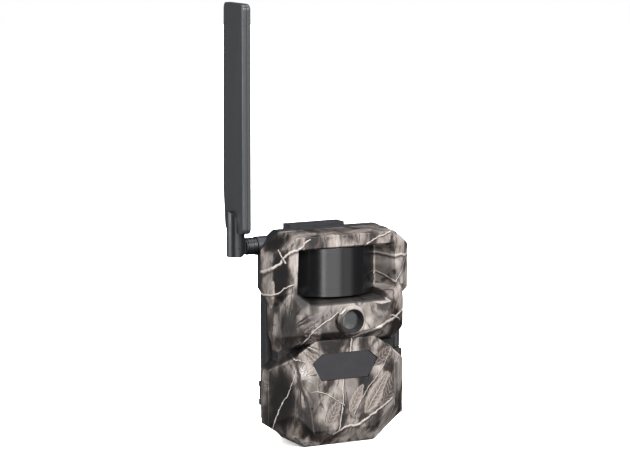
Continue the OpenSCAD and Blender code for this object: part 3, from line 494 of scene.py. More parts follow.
def draw_leaves(tree, sheet, below):
    """Draws each leaf with a midrib and side veins."""
    for stalk, tip, half_w, (pale, dark) in LEAVES:
        part = on_sheet(tree, sheet, stalk, tip)
        along, beside = part.outputs[0], part.outputs[1]
        outline = bend(tree, along, [
            (0, 0.05), (0.16, half_w * 0.62), (0.42, half_w), (0.75, half_w * 0.66), (1, 0.05)])
        reach = add_node(tree, "Math", {"operation": "DIVIDE"}, {
            0: add_node(tree, "Math", {"operation": "ABSOLUTE"}, {0: beside}),
            1: outline})
        blade = set_ramp(add_node(tree, "ValToRGB", inputs={0: reach}), [
            (0.0, colour(pale)), (0.05, colour(pale)), (0.1, colour(dark)),
            (0.7, colour(pale)), (0.94, colour(dark)), (0.985, (*colour(dark)[:3], 0.0))])
        length = (Vector(tip) - Vector(stalk)).length
        slant = add_node(tree, "Math", {"operation": "MULTIPLY_ADD"}, {
            0: reach, 1: -half_w / length * VEIN_SLANT, 2: along})
        wave = add_node(tree, "Math", {"operation": "SINE"}, {
            0: add_node(tree, "Math", {"operation": "MULTIPLY"}, {
                0: slant, 1: 2 * math.pi * length / VEIN_MM})})
        vein = add_node(tree, "MapRange", inputs={
            0: wave, 1: 0.72, 2: 1.0, 3: 0, 4: 0.35})
        veined = paint(tree, blade, colour("#c9c0b9"), vein)
        inside = add_node(tree, "Math", {"operation": "COMPARE"}, {0: along, 1: 0.5, 2: 0.5})
        amount = add_node(tree, "Math", {"operation": "MULTIPLY"}, {
            0: blade.outputs["Alpha"], 1: inside})
        below = paint(tree, below, veined, amount)
    return below


print("leaves:", len(LEAVES))

# %% [markdown]
# ### Branches
# A branch is lit from above, so it is pale on its upper side, brown on its lower side and throws a
# dark line of shade below it. One ramp across the branch holds all three. Its middle line is a
# curve, which bends it, and its width shrinks towards the tip.

# %% Branches
BRANCHES = [
    # start, end, bends (share along, mm aside), half widths, dark twig
    ((-76, 116), (-37, 132), [(0.4, -3.2), (0.62, -3.0), (0.86, 0.4)], 1.25, 1.0, False),
    ((-45, 124), (-52, 136), [(0.5, 0.8)], 0.8, 0.35, False),
    ((-38, 132), (-26, 139), [(0.4, -1.2), (0.7, 0.5)], 0.8, 0.4, False),
    ((-76, 104), (-38, 110), [(0.34, -4.2), (0.55, -3.9), (0.8, -1.0)], 0.75, 0.4, False),
    ((-46, 63), (-4, 93), [(0.3, -1.5), (0.62, 0.6), (0.85, -0.6)], 0.42, 0.35, False),
    ((5, 72), (72, 98), [(0.25, 0.8), (0.5, -1.6), (0.75, -1.2)], 1.35, 0.8, False),
    ((30, 84), (45, 79), [(0.5, 1.4)], 0.5, 0.25, False),
    ((30, 122.6), (64, 124), [(0.3, 0.9), (0.6, -0.6)], 1.1, 0.7, False),
    ((35, 104), (56, 128), [(0.4, 1.2), (0.7, 0.2)], 0.42, 0.35, False),
    ((14, 131), (40, 146), [(0.3, 1.2), (0.6, -1.2)], 0.5, 0.3, False),
    ((4, 72), (-5, 8), [(0.2, 1.3), (0.45, -1.0), (0.7, 0.8)], 0.55, 0.4, False),
    ((-26, 37), (0, 27), [(0.3, 2.8), (0.55, 2.4), (0.8, 0.8)], 0.32, 0.28, False),
    ((-8, 6), (40, 31), [(0.18, 1.5), (0.4, -2.6), (0.7, -2.2)], 0.95, 0.55, False),
    ((8, 20), (36, 62), [(0.3, 1.2), (0.7, -1.0)], 0.38, 0.25, False),
    ((40, 50), (44, 8), [(0.4, 1.6), (0.7, -0.8)], 0.7, 0.4, False),
    ((44, 52), (72, 66), [(0.5, -1.6)], 0.7, 0.4, False),
    ((-36, 60), (-24, 8), [(0.3, -1.2), (0.6, 1.4)], 1.0, 0.6, True),
    ((-52, 63), (-30, 57), [(0.5, 1.2)], 0.5, 0.3, False),
    ((-60, 10), (-38, 52), [(0.4, 1.6), (0.7, -0.8)], 0.45, 0.3, False),
    ((-76, 20), (-60, 96), [(0.3, 2.0), (0.7, -2.0)], 0.9, 0.5, True),
    ((58, 6), (70, 88), [(0.3, -2.0), (0.7, 1.6)], 0.9, 0.5, False),
    ((-30, 146), (30, 153), [(0.3, -2.2), (0.7, 1.4)], 0.7, 0.4, True),
]
SHADE_AT = 0.16
SECTION = 6  # half widths that the ramp across a branch spans


def draw_branches(tree, sheet, below):
    """Draws each branch with its lit side, its brown side and its shade."""
    for start, end, bends, first, last, dark in BRANCHES:
        part = on_sheet(tree, sheet, start, end)
        along, beside = part.outputs[0], part.outputs[1]
        middle = bend(tree, along, [(0, 0), *bends, (1, 0)])
        offset = add_node(tree, "Math", {"operation": "SUBTRACT"}, {0: beside, 1: middle})
        width = add_node(tree, "MapRange", inputs={
            0: along, 1: 0, 2: 1, 3: SECTION * first, 4: SECTION * last})
        flip = 1 if end[0] > start[0] else -1
        across = add_node(tree, "Math", {"operation": "DIVIDE"}, {
            0: add_node(tree, "Math", {"operation": "MULTIPLY"}, {
                0: offset, 1: flip}), 1: width})
        shifted = add_node(tree, "Math", {"operation": "ADD"}, {0: across, 1: 0.5})
        lit, mid, low = (
            ("#5b524d", "#362e2b", "#1d1816") if dark else ("#c9c1bb", "#a79e98", "#564c47"))
        shade = colour("#1b1614")[:3]
        section = set_ramp(add_node(tree, "ValToRGB", inputs={0: shifted}), [
            (SHADE_AT - 0.12, (*shade, 0.0)), (SHADE_AT + 0.08, (*shade, 0.75)),
            (0.33, (*shade, 0.85)), (0.36, colour(low)), (0.46, colour(mid)),
            (0.58, colour(lit)), (0.645, colour(lit)), (0.67, (*colour(lit)[:3], 0.0))])
        inside = add_node(tree, "Math", {"operation": "COMPARE"}, {0: along, 1: 0.5, 2: 0.5})
        amount = add_node(tree, "Math", {"operation": "MULTIPLY"}, {
            0: section.outputs["Alpha"], 1: inside})
        below = paint(tree, below, section, amount)
    return below


print("branches:", len(BRANCHES))

# %% [markdown]
# ### Dark facets, and painted shade in deep places
# Blocks darken the slanting left facets and the right facet of the lower cover: partly dark print,
# partly painted shade. Deep, narrow places get painted shade, near black: the ledge under the
# window, the left wall of its recess, and the groove between the chin and the lower cover. Each
# place is a block with soft faces. The groove runs down at both sides, so its height is measured
# along that slope.

# %% Painted shade in deep places
SLOPE_FROM = 21.2
SLOPE = 0.657
# Dark print with painted shade: blocks on the slanting facets
DARK_FACETS = [
    # low and high x, low and high z, depth where it starts, follows the slope, strength
    (-49.8, -41.3, 97, 137, 0.7, False, 1.0), (-49.8, -36.2, 8, 58, 3.0, False, 0.9),
    (36.2, 49.8, 13, 53, 3.0, False, 0.5), (-45.5, -38.0, 76, 99, 1.2, False, 0.5),
]
FACET_FADE = 11.0
# Painted shade, near black, in deep places: same columns as the dark facets
PAINTED_SHADE = [
    (-38, 30, 90, 101.6, -2.0, False, 0.93), (-38, -24, 96, 132, 1.2, False, 0.9),
    (-26, 28, 94.5, 101.6, -3.6, False, 0.93), (-60, 60, 70.6, 78.4, 2.2, True, 0.93),
]
PAINTED_SHADE_FADE = 0.8
FRONT_FADE = 1.6
SIDE_FADE = 1


def in_blocks(tree, blocks, fade):
    """The strength of the block that a place lies in, or 0 outside them all.
    Its lower and upper ends fade over some millimetres."""
    part = add_node(tree, "SeparateXYZ", inputs={0: position_mm(tree)})
    depth = depth_mm(tree, part)
    width = add_node(tree, "Math", {"operation": "ABSOLUTE"}, {0: part.outputs[0]})
    beyond = add_node(tree, "Math", {"operation": "MAXIMUM"}, {
        0: add_node(tree, "Math", {"operation": "SUBTRACT"}, {0: width, 1: SLOPE_FROM}), 1: 0.0})
    sloped = add_node(tree, "Math", {"operation": "MULTIPLY_ADD"}, {
        0: beyond, 1: SLOPE, 2: part.outputs[2]})
    total = None
    for x0, x1, z0, z1, start, slanted, strength in blocks:
        height = sloped if slanted else part.outputs[2]
        amount = add_node(tree, "MapRange", inputs={
            0: depth, 1: start, 2: start + FRONT_FADE, 3: 0, 4: strength})
        for value, edge, inside in (
                (part.outputs[0], x0, x0 + SIDE_FADE), (part.outputs[0], x1, x1 - SIDE_FADE),
                (height, z0, z0 + fade), (height, z1, z1 - fade)):
            face = add_node(tree, "MapRange", inputs={0: value, 1: edge, 2: inside})
            amount = add_node(tree, "Math", {"operation": "MULTIPLY"}, {
                0: amount, 1: face})
        total = amount if total is None else add_node(
            tree, "Math", {"operation": "MAXIMUM"}, {0: total, 1: amount})
    return total


print("dark facets:", len(DARK_FACETS), "painted_shade places:", len(PAINTED_SHADE))

# %% [markdown]
# ### The moulded and printed ABS
# The film is satin. Under it the ABS has the faint grain of a spark-eroded mould, about 0.4 mm
# coarse so that it shows. A low, broken gloss keeps the print readable.

# %% Camouflage ABS
GRAIN_MM = 0.4
WANDER_MM = 2.2  # how far a broad noise pushes the drawn marks about
WANDER_PER_MM = 0.35


def camo_abs(name):
    """Moulded ABS with the printed film, with painted shade in its deep places and, over dark
    print, on its slanting facets.
    """
    made, tree, shader = start_finish(name, Roughness=0.42, IOR=1.5)
    shader.inputs["Specular IOR Level"].default_value = 0.45
    sheet = flat_sheet(tree)
    wander = add_node(tree, "TexNoise", inputs={
        "Vector": sheet, "Scale": WANDER_PER_MM, "Detail": 3.0})
    centred = add_node(tree, "VectorMath", {"operation": "SUBTRACT"}, {
        0: wander.outputs["Color"], 1: (0.5, 0.5, 0.5)})
    loose = add_node(tree, "VectorMath", {"operation": "MULTIPLY_ADD"}, {
        0: centred, 1: (WANDER_MM, WANDER_MM, 0.0), 2: sheet})
    ground, cracks = bark(tree, loose)
    facets = add_node(tree, "Math", {"operation": "MULTIPLY"}, {
        0: in_blocks(tree, DARK_FACETS, FACET_FADE),
        1: add_node(tree, "MapRange", inputs={0: cracks, 1: 0.66, 2: 0.5})})
    # Dark print and painted shade on the slanting facets
    shaded = paint(tree, ground, colour("#110e0d"), facets)
    print_colour = shade_hollows(tree, sheet, cracks, shaded)
    print_colour = draw_leaves(tree, loose, print_colour)
    print_colour = draw_tufts(tree, loose, print_colour)
    print_colour = draw_branches(tree, loose, print_colour)
    fine = add_node(tree, "MapRange", inputs={0: cracks, 1: 0.35, 2: 0.65, 3: 0.86, 4: 1.08})
    textured = add_node(tree, "VectorMath", {"operation": "SCALE"}, {
        0: print_colour, "Scale": fine})
    # Painted shade, near black, in the deep places
    printed = paint(tree, textured, colour("#0c0b0a"), in_blocks(tree, PAINTED_SHADE, PAINTED_SHADE_FADE))
    grain = add_node(tree, "TexNoise", inputs={
        "Vector": position_mm(tree), "Scale": 1 / GRAIN_MM, "Detail": 2.0})
    gloss = add_node(tree, "MapRange", inputs={0: cracks, 1: 0.3, 2: 0.7, 3: 0.48, 4: 0.36})
    relief = add_node(tree, "Bump", inputs={
        "Strength": 0.12, "Distance": 0.05 * MM, "Height": grain})
    feed(tree, shader, {"Base Color": printed, "Roughness": gloss, "Normal": relief})
    print(name, "uses", len(tree.nodes), "nodes")
    return made


FINISH = {"camo_plastic": camo_abs("moulded_abs_with_camouflage_film")}

# %% [markdown]
# ## Plain mouldings
# Most other plastics differ only in their colour, gloss and mould grain. One recipe makes them: a
# noise at the size of the grain sets the relief, and a second, broad noise moves the colour and
# the gloss a little, as handling and flow marks do.


# %% Moulded plastics
def moulded(name, low, high, roughness, grain_mm, relief_mm, patch_mm=9.0, **surface):
    """A moulded plastic or rubber with mould grain and faint flow marks."""
    made, tree, shader = start_finish(name, **surface)
    place = position_mm(tree)
    patch = add_node(tree, "TexNoise", inputs={
        "Vector": place, "Scale": 1 / patch_mm, "Detail": 4.0, "Roughness": 0.6})
    grain = add_node(tree, "TexNoise", inputs={
        "Vector": place, "Scale": 1 / grain_mm, "Detail": 2.0})
    blended = add_node(tree, "Math", {"operation": "MULTIPLY_ADD"}, {
        0: grain, 1: 0.3, 2: add_node(tree, "Math", {"operation": "MULTIPLY"}, {
            0: patch, 1: 0.7})})
    tint = add_node(tree, "MapRange", inputs={0: blended, 1: 0.35, 2: 0.65})
    skin_colour = paint(tree, colour(low), colour(high), tint)
    gloss = add_node(tree, "MapRange", inputs={
        0: patch, 1: 0.3, 2: 0.7, 3: roughness + 0.05, 4: roughness - 0.05})
    relief = add_node(tree, "Bump", inputs={
        "Strength": 0.5, "Distance": relief_mm * MM, "Height": grain})
    feed(tree, shader, {"Base Color": skin_colour, "Roughness": gloss, "Normal": relief})
    return made


FINISH.update({
    # Textured ABS of the rear half: near black with a cool cast
    "shell_plastic": moulded("moulded_abs_textured_black", "#1a1b1e", "#232529", 0.5, 0.5, 0.03),
    # Smooth black ABS of inner parts
    "black_plastic": moulded("moulded_abs_satin_black", "#151618", "#1d1e20", 0.36, 0.6, 0.006),
    # Polyethylene lets body heat through, and its skin is silky rather than shiny
    "window_plastic": moulded("moulded_hdpe_black", "#0f0f10", "#131315", 0.24, 0.8, 0.0002, 60.0),
    # Acrylic filled with dye that only infrared passes
    "infrared_plastic": moulded(
        "moulded_acrylic_smoked", "#232226", "#29282c", 0.22, 1.2, 0.002, 16.0, IOR=1.49),
    # Soft keys of silicone rubber
    "key_plastic": moulded("moulded_silicone_grey", "#4c4f53", "#585b60", 0.55, 0.4, 0.01, 4.0),
    "ok_plastic": moulded("moulded_silicone_orange", "#a5461f", "#b65327", 0.55, 0.4, 0.01, 4.0),
    "switch_plastic": moulded("moulded_acetal_white", "#c4c4bf", "#d2d2cd", 0.4, 0.5, 0.01, 4.0),
    "rubber": moulded("moulded_nitrile_rubber", "#121213", "#1b1b1c", 0.7, 0.35, 0.02, 5.0),
    # Thermoplastic urethane over the blade, a satin grey-black
    "antenna_plastic": moulded(
        "moulded_tpu_graphite", "#323335", "#393a3c", 0.34, 0.45, 0.006, 30.0),
    # Heat-shrunk sleeve of the cells
    "cell_jacket": moulded("shrunk_pvc_sleeve", "#9c5f22", "#a36526", 0.24, 1.0, 0.001, 30.0),
    "chip": moulded("moulded_epoxy_package", "#2b2c2f", "#3a3b3f", 0.6, 0.2, 0.01, 3.0),
})
print("finishes so far:", len(FINISH))

# %% [markdown]
# ## Glass and resin
# The outer disc and the front lens are polished glass over a dark lens tube. Half of their shader
# is grey and half is clear; the grey half is a painted reflection, which gives the soft grey that
# the glass shows. The infrared-cut filter has a thin coating whose film tints what bounces off it,
# and the lamps are clear epoxy.


# %% Glass and resin
COATING_IOR = 1.38  # magnesium fluoride


def clear(name, tint, roughness, ior, film_nm, dust_mm=3.0, clearness=1.0):
    """A clear glass or resin with a faint bloom of dust in its gloss."""
    made, tree, shader = start_finish(name, IOR=ior)
    shader.inputs["Transmission Weight"].default_value = clearness
    shader.inputs["Thin Film Thickness"].default_value = film_nm
    shader.inputs["Thin Film IOR"].default_value = COATING_IOR
    dust = add_node(tree, "TexNoise", inputs={
        "Vector": position_mm(tree), "Scale": 1 / dust_mm, "Detail": 4.0})
    bloom = add_node(tree, "MapRange", inputs={
        0: dust, 1: 0.4, 2: 0.75, 3: roughness, 4: roughness + 0.05})
    veil = add_node(tree, "MapRange", inputs={0: dust, 1: 0.4, 2: 0.75, 3: 0, 4: 0.2})
    dusty = paint(tree, colour(tint), colour("#f2f4f6"), veil)
    feed(tree, shader, {"Base Color": dusty, "Roughness": bloom})
    return made


FINISH.update({
    # The grey half of this glass is a painted reflection
    "lens_glass": clear("polished_glass_painted_reflection", "#4a4d4b", 0.06, 1.52, 0.0, 6.0, 0.5),
    "filter_glass": clear("polished_filter_glass", "#7fd0dc", 0.0, 1.52, 300.0),
    "lamp_resin": clear("cast_epoxy_clear", "#e4e2f0", 0.05, 1.5, 0.0, 0.8),
})
print("clear finishes ready")

# %% [markdown]
# ## Metals, board and screen
# Screws and the shield are zinc-plated steel with fine rolled streaks. The tripod insert is turned
# brass with rings round its axis. The boards are green solder mask over copper tracks.


# %% Metals
def metal(name, low, high, roughness, streak_mm, stretch):
    """A plated or turned metal with tool streaks."""
    made, tree, shader = start_finish(name, Metallic=1.0)
    place = add_node(tree, "Mapping", inputs={
        "Vector": position_mm(tree), "Scale": tuple(s / streak_mm for s in stretch)})
    streaks = add_node(tree, "TexNoise", inputs={
        "Vector": place, "Scale": 1.0, "Detail": 4.0})
    tint = add_node(tree, "MapRange", inputs={0: streaks, 1: 0.35, 2: 0.65})
    streaked = paint(tree, colour(low), colour(high), tint)
    gloss = add_node(tree, "MapRange", inputs={
        0: streaks, 1: 0.3, 2: 0.7, 3: roughness + 0.08, 4: roughness - 0.08})
    relief = add_node(tree, "Bump", inputs={
        "Strength": 0.3, "Distance": 0.01 * MM, "Height": streaks})
    feed(tree, shader, {"Base Color": streaked, "Roughness": gloss, "Normal": relief})
    return made


FINISH["steel"] = metal("zinc_plated_steel", "#8e9196", "#b9bcc0", 0.33, 0.3, (1, 1, 0.15))
FINISH["brass"] = metal("turned_brass", "#b08a3c", "#d9b565", 0.28, 0.25, (0.2, 0.2, 1))
print("metals ready")


# %% Board and screen
def circuit_board(name):
    """Green solder mask with lighter tracks and small pale pads."""
    made, tree, shader = start_finish(name, Roughness=0.35, IOR=1.5)
    place = position_mm(tree)
    tracks = add_node(tree, "TexBrick", {"offset": 0.5, "squash": 0.6}, {
        "Vector": add_node(tree, "Mapping", inputs={
            "Vector": place, "Rotation": (math.radians(90), 0, 0)}),
        "Color1": colour("#14532c"), "Color2": colour("#175c31"), "Mortar": colour("#2f8a50"),
        "Scale": 0.4, "Mortar Size": 0.02, "Brick Width": 1.6, "Row Height": 0.7})
    pads = add_node(tree, "TexVoronoi", inputs={"Vector": place, "Scale": 0.45})
    dot = add_node(tree, "MapRange", inputs={
        0: pads.outputs["Distance"], 1: 0.16, 2: 0.2, 3: 1, 4: 0})
    mask = paint(tree, tracks, colour("#b9bdb4"), dot)
    relief = add_node(tree, "Bump", inputs={
        "Strength": 0.4, "Distance": 0.04 * MM, "Height": tracks.outputs[1]})
    feed(tree, shader, {"Base Color": mask, "Normal": relief})
    return made


ROW_MM = 0.5


def screen_glass(name):
    """A dark liquid-crystal panel whose rows of dots show as fine lines."""
    made, tree, shader = start_finish(name, Roughness=0.12, IOR=1.5)
    part = add_node(tree, "SeparateXYZ", inputs={0: position_mm(tree)})
    rows = add_node(tree, "Math", {"operation": "SINE"}, {
        0: add_node(tree, "Math", {"operation": "MULTIPLY"}, {
            0: part.outputs[2], 1: 2 * math.pi / ROW_MM})})
    line = add_node(tree, "MapRange", inputs={0: rows, 1: -1, 2: 1})
    haze = add_node(tree, "TexNoise", inputs={"Vector": position_mm(tree), "Scale": 0.08})
    base = paint(tree, colour("#1d2430"), colour("#2a3443"), haze)
    feed(tree, shader, {"Base Color": paint(tree, base, colour("#161b24"), line)})
    return made


FINISH["circuit_board"] = circuit_board("solder_mask_on_glass_epoxy")
FINISH["screen"] = screen_glass("liquid_crystal_panel")
print("finishes:", len(FINISH))

# %% [markdown]
# ## Building pieces
# A moulded shell is mostly flat faces with small rounded edges. Each solid is the tight skin
# (convex hull) round a few corners, with its edges bevelled, and Boolean steps join and cut them.
# Beveling before joining rounds the outside edges and leaves the inside corners crisp, as in a
# real mould.


# %% Mesh helpers
EDGE_SEGMENTS = 2
RING_SIDES = 96
POST_SIDES = 48


def both(points):
    """The corners on the right and their mirror images, as metres."""
    return [at(side * x, depth, z) for x, depth, z in points for side in (1, -1)]


def bevel(bm, geom, width, segments=EDGE_SEGMENTS, affect="EDGES"):
    """Rounds edges or corners by a width in mm."""
    bmesh.ops.bevel(bm, geom=geom, offset=width * MM, offset_type="OFFSET", segments=segments,
                    profile=0.5, affect=affect, clamp_overlap=True, material=-1)


def vertices_in(parts):
    """The vertices among the mesh parts that an operator returns."""
    return [v for v in parts if isinstance(v, bmesh.types.BMVert)]


def round_edges(bm, width, angle=14):
    """Rounds every edge that bends by more than an angle."""
    limit = math.radians(angle)
    edges = [e for e in bm.edges if len(e.link_faces) == 2 and e.calc_face_angle(0) > limit]
    if edges and width:
        bevel(bm, edges, width)
    return bm


def skin(corners, width=0.0):
    """The convex skin round some corners, with rounded edges."""
    bm = bmesh.new()
    for corner in corners:
        bm.verts.new(corner)
    made = bmesh.ops.convex_hull(bm, input=bm.verts)
    spare = set(vertices_in(made["geom_interior"] + made["geom_unused"]))
    bmesh.ops.delete(bm, geom=list(spare), context="VERTS")
    bmesh.ops.dissolve_limit(
        bm, angle_limit=math.radians(1), verts=bm.verts, edges=bm.edges)
    bmesh.ops.recalc_face_normals(bm, faces=bm.faces)
    return round_edges(bm, width)


def plate(outline, front, rear, width=0.0, rims=True):
    """A flat plate from an outline of (x, z) places, between two depths.
    Without rims only the edges that run front to back are rounded."""
    bm = bmesh.new()
    face = bm.faces.new([bm.verts.new(at(x, front, z)) for x, z in outline])
    swept = bmesh.ops.extrude_face_region(bm, geom=[face])["geom"]
    bmesh.ops.translate(bm, vec=(0, (rear - front) * MM, 0), verts=vertices_in(swept))
    bmesh.ops.recalc_face_normals(bm, faces=bm.faces)
    if rims:
        return round_edges(bm, width)
    bevel(bm, [e for e in bm.edges
               if abs((e.verts[0].co - e.verts[1].co).normalized().y) > 0.9], width)
    return bm


def mirrored(half):
    """An outline completed with its mirror image."""
    return half + [(-x, z) for x, z in reversed(half)]


def turned(profile, x, z):
    """A ring turned about a front-to-back axis, from (radius, depth) places round its section."""
    bm = bmesh.new()
    ring = [bm.verts.new(at(x + r, depth, z)) for r, depth in profile]
    edges = [bm.edges.new(pair) for pair in zip(ring, ring[1:] + ring[:1])]
    bmesh.ops.spin(bm, geom=ring + edges, cent=at(x, 0, z), axis=(0, 1, 0), angle=2 * math.pi,
                   steps=RING_SIDES, use_merge=True, use_duplicate=False)
    bmesh.ops.remove_doubles(bm, verts=bm.verts, dist=1e-7)
    bmesh.ops.recalc_face_normals(bm, faces=bm.faces)
    return bm


def upright(x, depth, z, radius, height):
    """A round post that stands on the z axis, middle at z."""
    bm = bmesh.new()
    bmesh.ops.create_cone(bm, cap_ends=True, segments=POST_SIDES, radius1=radius * MM,
                          radius2=radius * MM, depth=height * MM)
    bmesh.ops.translate(bm, verts=bm.verts, vec=at(x, depth, z))
    return bm


def rod(x, z, radius, front, rear):
    """A round rod along the depth."""
    bm = bmesh.new()
    bmesh.ops.create_cone(bm, cap_ends=True, segments=POST_SIDES, radius1=radius * MM,
                          radius2=radius * MM, depth=(rear - front) * MM)
    bmesh.ops.rotate(
        bm, verts=bm.verts, cent=(0, 0, 0), matrix=Matrix.Rotation(math.pi / 2, 3, "X"))
    bmesh.ops.translate(bm, verts=bm.verts, vec=at(x, (front + rear) / 2, z))
    return bm


def box(low, high):
    """A box between two corners given as (x, depth, z)."""
    return skin([at(x, d, z) for x in (low[0], high[0]) for d in (low[1], high[1])
                 for z in (low[2], high[2])])


def piece(name, bm):
    """Makes an object of a mesh."""
    data = bpy.data.meshes.new(name)
    bm.to_mesh(data)
    bm.free()
    made = bpy.data.objects.new(name, data)
    bpy.context.scene.collection.objects.link(made)
    return made


def join_cut(base, tools, operation):
    """Joins solids to a piece, or cuts them from it, one exact Boolean each."""
    for bm in tools:
        tool = piece("tool", bm)
        step = base.modifiers.new("step", "BOOLEAN")
        step.operation = operation
        step.solver = "EXACT"
        step.object = tool
        seen_by = bpy.context.evaluated_depsgraph_get()
        made = bpy.data.meshes.new_from_object(base.evaluated_get(seen_by))
        base.modifiers.clear()
        base.data = made
        bpy.data.objects.remove(tool)
    return base


def finish_piece(made, body, slot_name, *nodes, smooth=32):
    """Cleans the mesh, smooths its shading by angle, and gives it its body and the finish of its
    slot.
    """
    bm = bmesh.new()
    bm.from_mesh(made.data)
    bmesh.ops.remove_doubles(bm, verts=bm.verts, dist=2e-6)
    bmesh.ops.dissolve_degenerate(bm, edges=bm.edges, dist=1e-6)
    bm.to_mesh(made.data)
    bm.free()
    made.data.shade_smooth()
    made.data.set_sharp_from_angle(angle=math.radians(smooth))
    made.data.materials.clear()
    made.data.materials.append(FINISH[slot_name])
    weighted = made.modifiers.new("even_shading", "WEIGHTED_NORMAL")
    weighted.keep_sharp = True
    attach(made, body)
    if nodes:
        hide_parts(*nodes)
    return made


print("helpers ready")

# %% [markdown]
# ## Front housing
# The camouflaged front half is one moulding: a head with a hood and a window recess, a chin that
# carries the lens, a waist, and a lower cover. A plate and three skins with rounded edges make its
# outside. Outlines are (x, z) places on the right half, and skin corners are (x, depth, z).

# %% Front housing outside
PARTING = 24.85
PAST = 27.0  # solids run on to here, and are cut off at the parting plane
EDGE_MM = 0.7
BASE_OUTLINE = mirrored([
    (36.6, 141), (49.9, 128.5), (49.9, 100.5), (45.3, 94.3), (45.3, 75.1),
    (42.5, 69), (42.5, 58), (49.9, 52.2), (49.9, 15.8), (26, 0)])
HEAD = [
    (35.9, 0.8, 140), (36.6, PAST, 141), (41.1, 0.4, 135.5), (41.1, 0.4, 104.8),
    (26, -1.3, 96.8), (49.9, 8.8, 130), (49.9, 8.8, 100.5), (49.9, PAST, 130),
    (49.9, PAST, 100.5), (45.3, 12, 94.3), (45.3, PAST, 94.3)]
CHIN = [
    (41.1, 0.4, 104.8), (26, -1.3, 96.8), (21.2, -6.2, 77.8), (45.3, 6.2, 94.3),
    (45.3, 6.4, 75.1), (37.8, 7, 66.9), (45.3, 16, 94.3), (45.3, 16, 75.1),
    (37.8, 16, 66.9), (21.2, 16, 77.8)]
COVER = [
    (21, 1.6, 71.5), (33, 2.6, 64), (36, 2.7, 60.5), (49.9, 15.2, 52.2), (49.9, 15.2, 15.8),
    (36, 2.7, 24), (23, 2.7, 11), (26, 10.3, 0), (21, 16, 71.5), (33, 16, 64),
    (49.9, PAST, 52.2), (49.9, PAST, 15.8), (26, PAST, 0)]

front = piece("front_housing_shell", plate(BASE_OUTLINE, 14.6, PAST, EDGE_MM, rims=False))
join_cut(front, [skin(both(part), EDGE_MM) for part in (HEAD, CHIN, COVER)], "UNION")
print("outside has", len(front.data.polygons), "faces")

# %% [markdown]
# The inside is hollow, with screw bosses, the lens tube and two hinge ears. The window sits in a
# deep recess with a chamfered mouth, and the lens, the lamps and the microphone have their holes.

# %% Front housing hollows
CAVITY = mirrored([
    (35.4, 138.8), (47.7, 127.4), (47.7, 101.4), (43.1, 95.2), (43.1, 75.6),
    (40.3, 69.6), (40.3, 57.2), (47.7, 51), (47.7, 17), (25.4, 2.2)])
CHIN_INSIDE = [
    (37.1, 5.4, 95.3), (24, 1.9, 94.2), (19.7, -3.6, 80.2), (43.1, 9.6, 94.3), (43.1, 9.8, 76.1),
    (35.8, 10.2, 69.3), (43.1, 18, 94.3), (43.1, 18, 76.1), (35.8, 18, 69.3), (20.2, 18, 80.2)]
COVER_INSIDE = [
    (19.5, 3.8, 69.3), (31.5, 4.8, 61.8), (47.7, 16.8, 51.2), (47.7, 16.8, 16.8),
    (34.8, 4.9, 24), (22, 4.9, 12), (25, 10.3, 2.2), (19.5, 18, 69.3),
    (47.7, 20, 51.2), (47.7, 20, 16.8), (25, 20, 2.2)]
RECESS = mirrored([(33.8, 131.4), (35, 103.5), (26, 97.6)])
RECESS_MOUTH = mirrored([(36.6, 134.6), (37.8, 102.6), (27.4, 95.4)])
RECESS_FLOOR = mirrored([(29.4, 131.2), (29.6, 104.2), (24.8, 98.6)])
LENS_Z = 84.6
LENS_TUBE_R, LENS_BORE_R = 8.6, 6.96
MICROPHONE_HOLE = (-24, 27, 0.6)  # x, z, radius
IR_OUTLINE = mirrored([(17.2, 62.5), (24, 56.7), (17.2, 44.4)])
IR_THROUGH = mirrored([(15.8, 61), (22, 56.4), (16, 46)])
PANEL_SCREWS = [(-37, 116), (37, 116), (-40, 24), (40, 24)]
BOARD_SCREWS = [(-33, 92), (33, 92), (-33, 34), (33, 34)]
PANEL_BOSS_R, BOARD_BOSS_R, SCREW_HOLE_R = 3.0, 2.6, 1.1
HINGE_X = 50.6
HINGE_DEPTH = 26.8
EAR_MM = 12
EAR_R, PIN_HOLE_R = 2.9, 1.31
EARS = [(51.7, 41), (104.3, 46.4)]  # height, where the web starts
KNUCKLE_Z, KNUCKLE_MM, KNUCKLE_ROOM_R = 78, 41, 3.4  # the rear case's knuckle between the ears


def between(first, first_depth, second, second_depth):
    """A solid that runs from one outline to another."""
    return skin([at(x, first_depth, z) for x, z in first]
                + [at(x, second_depth, z) for x, z in second])


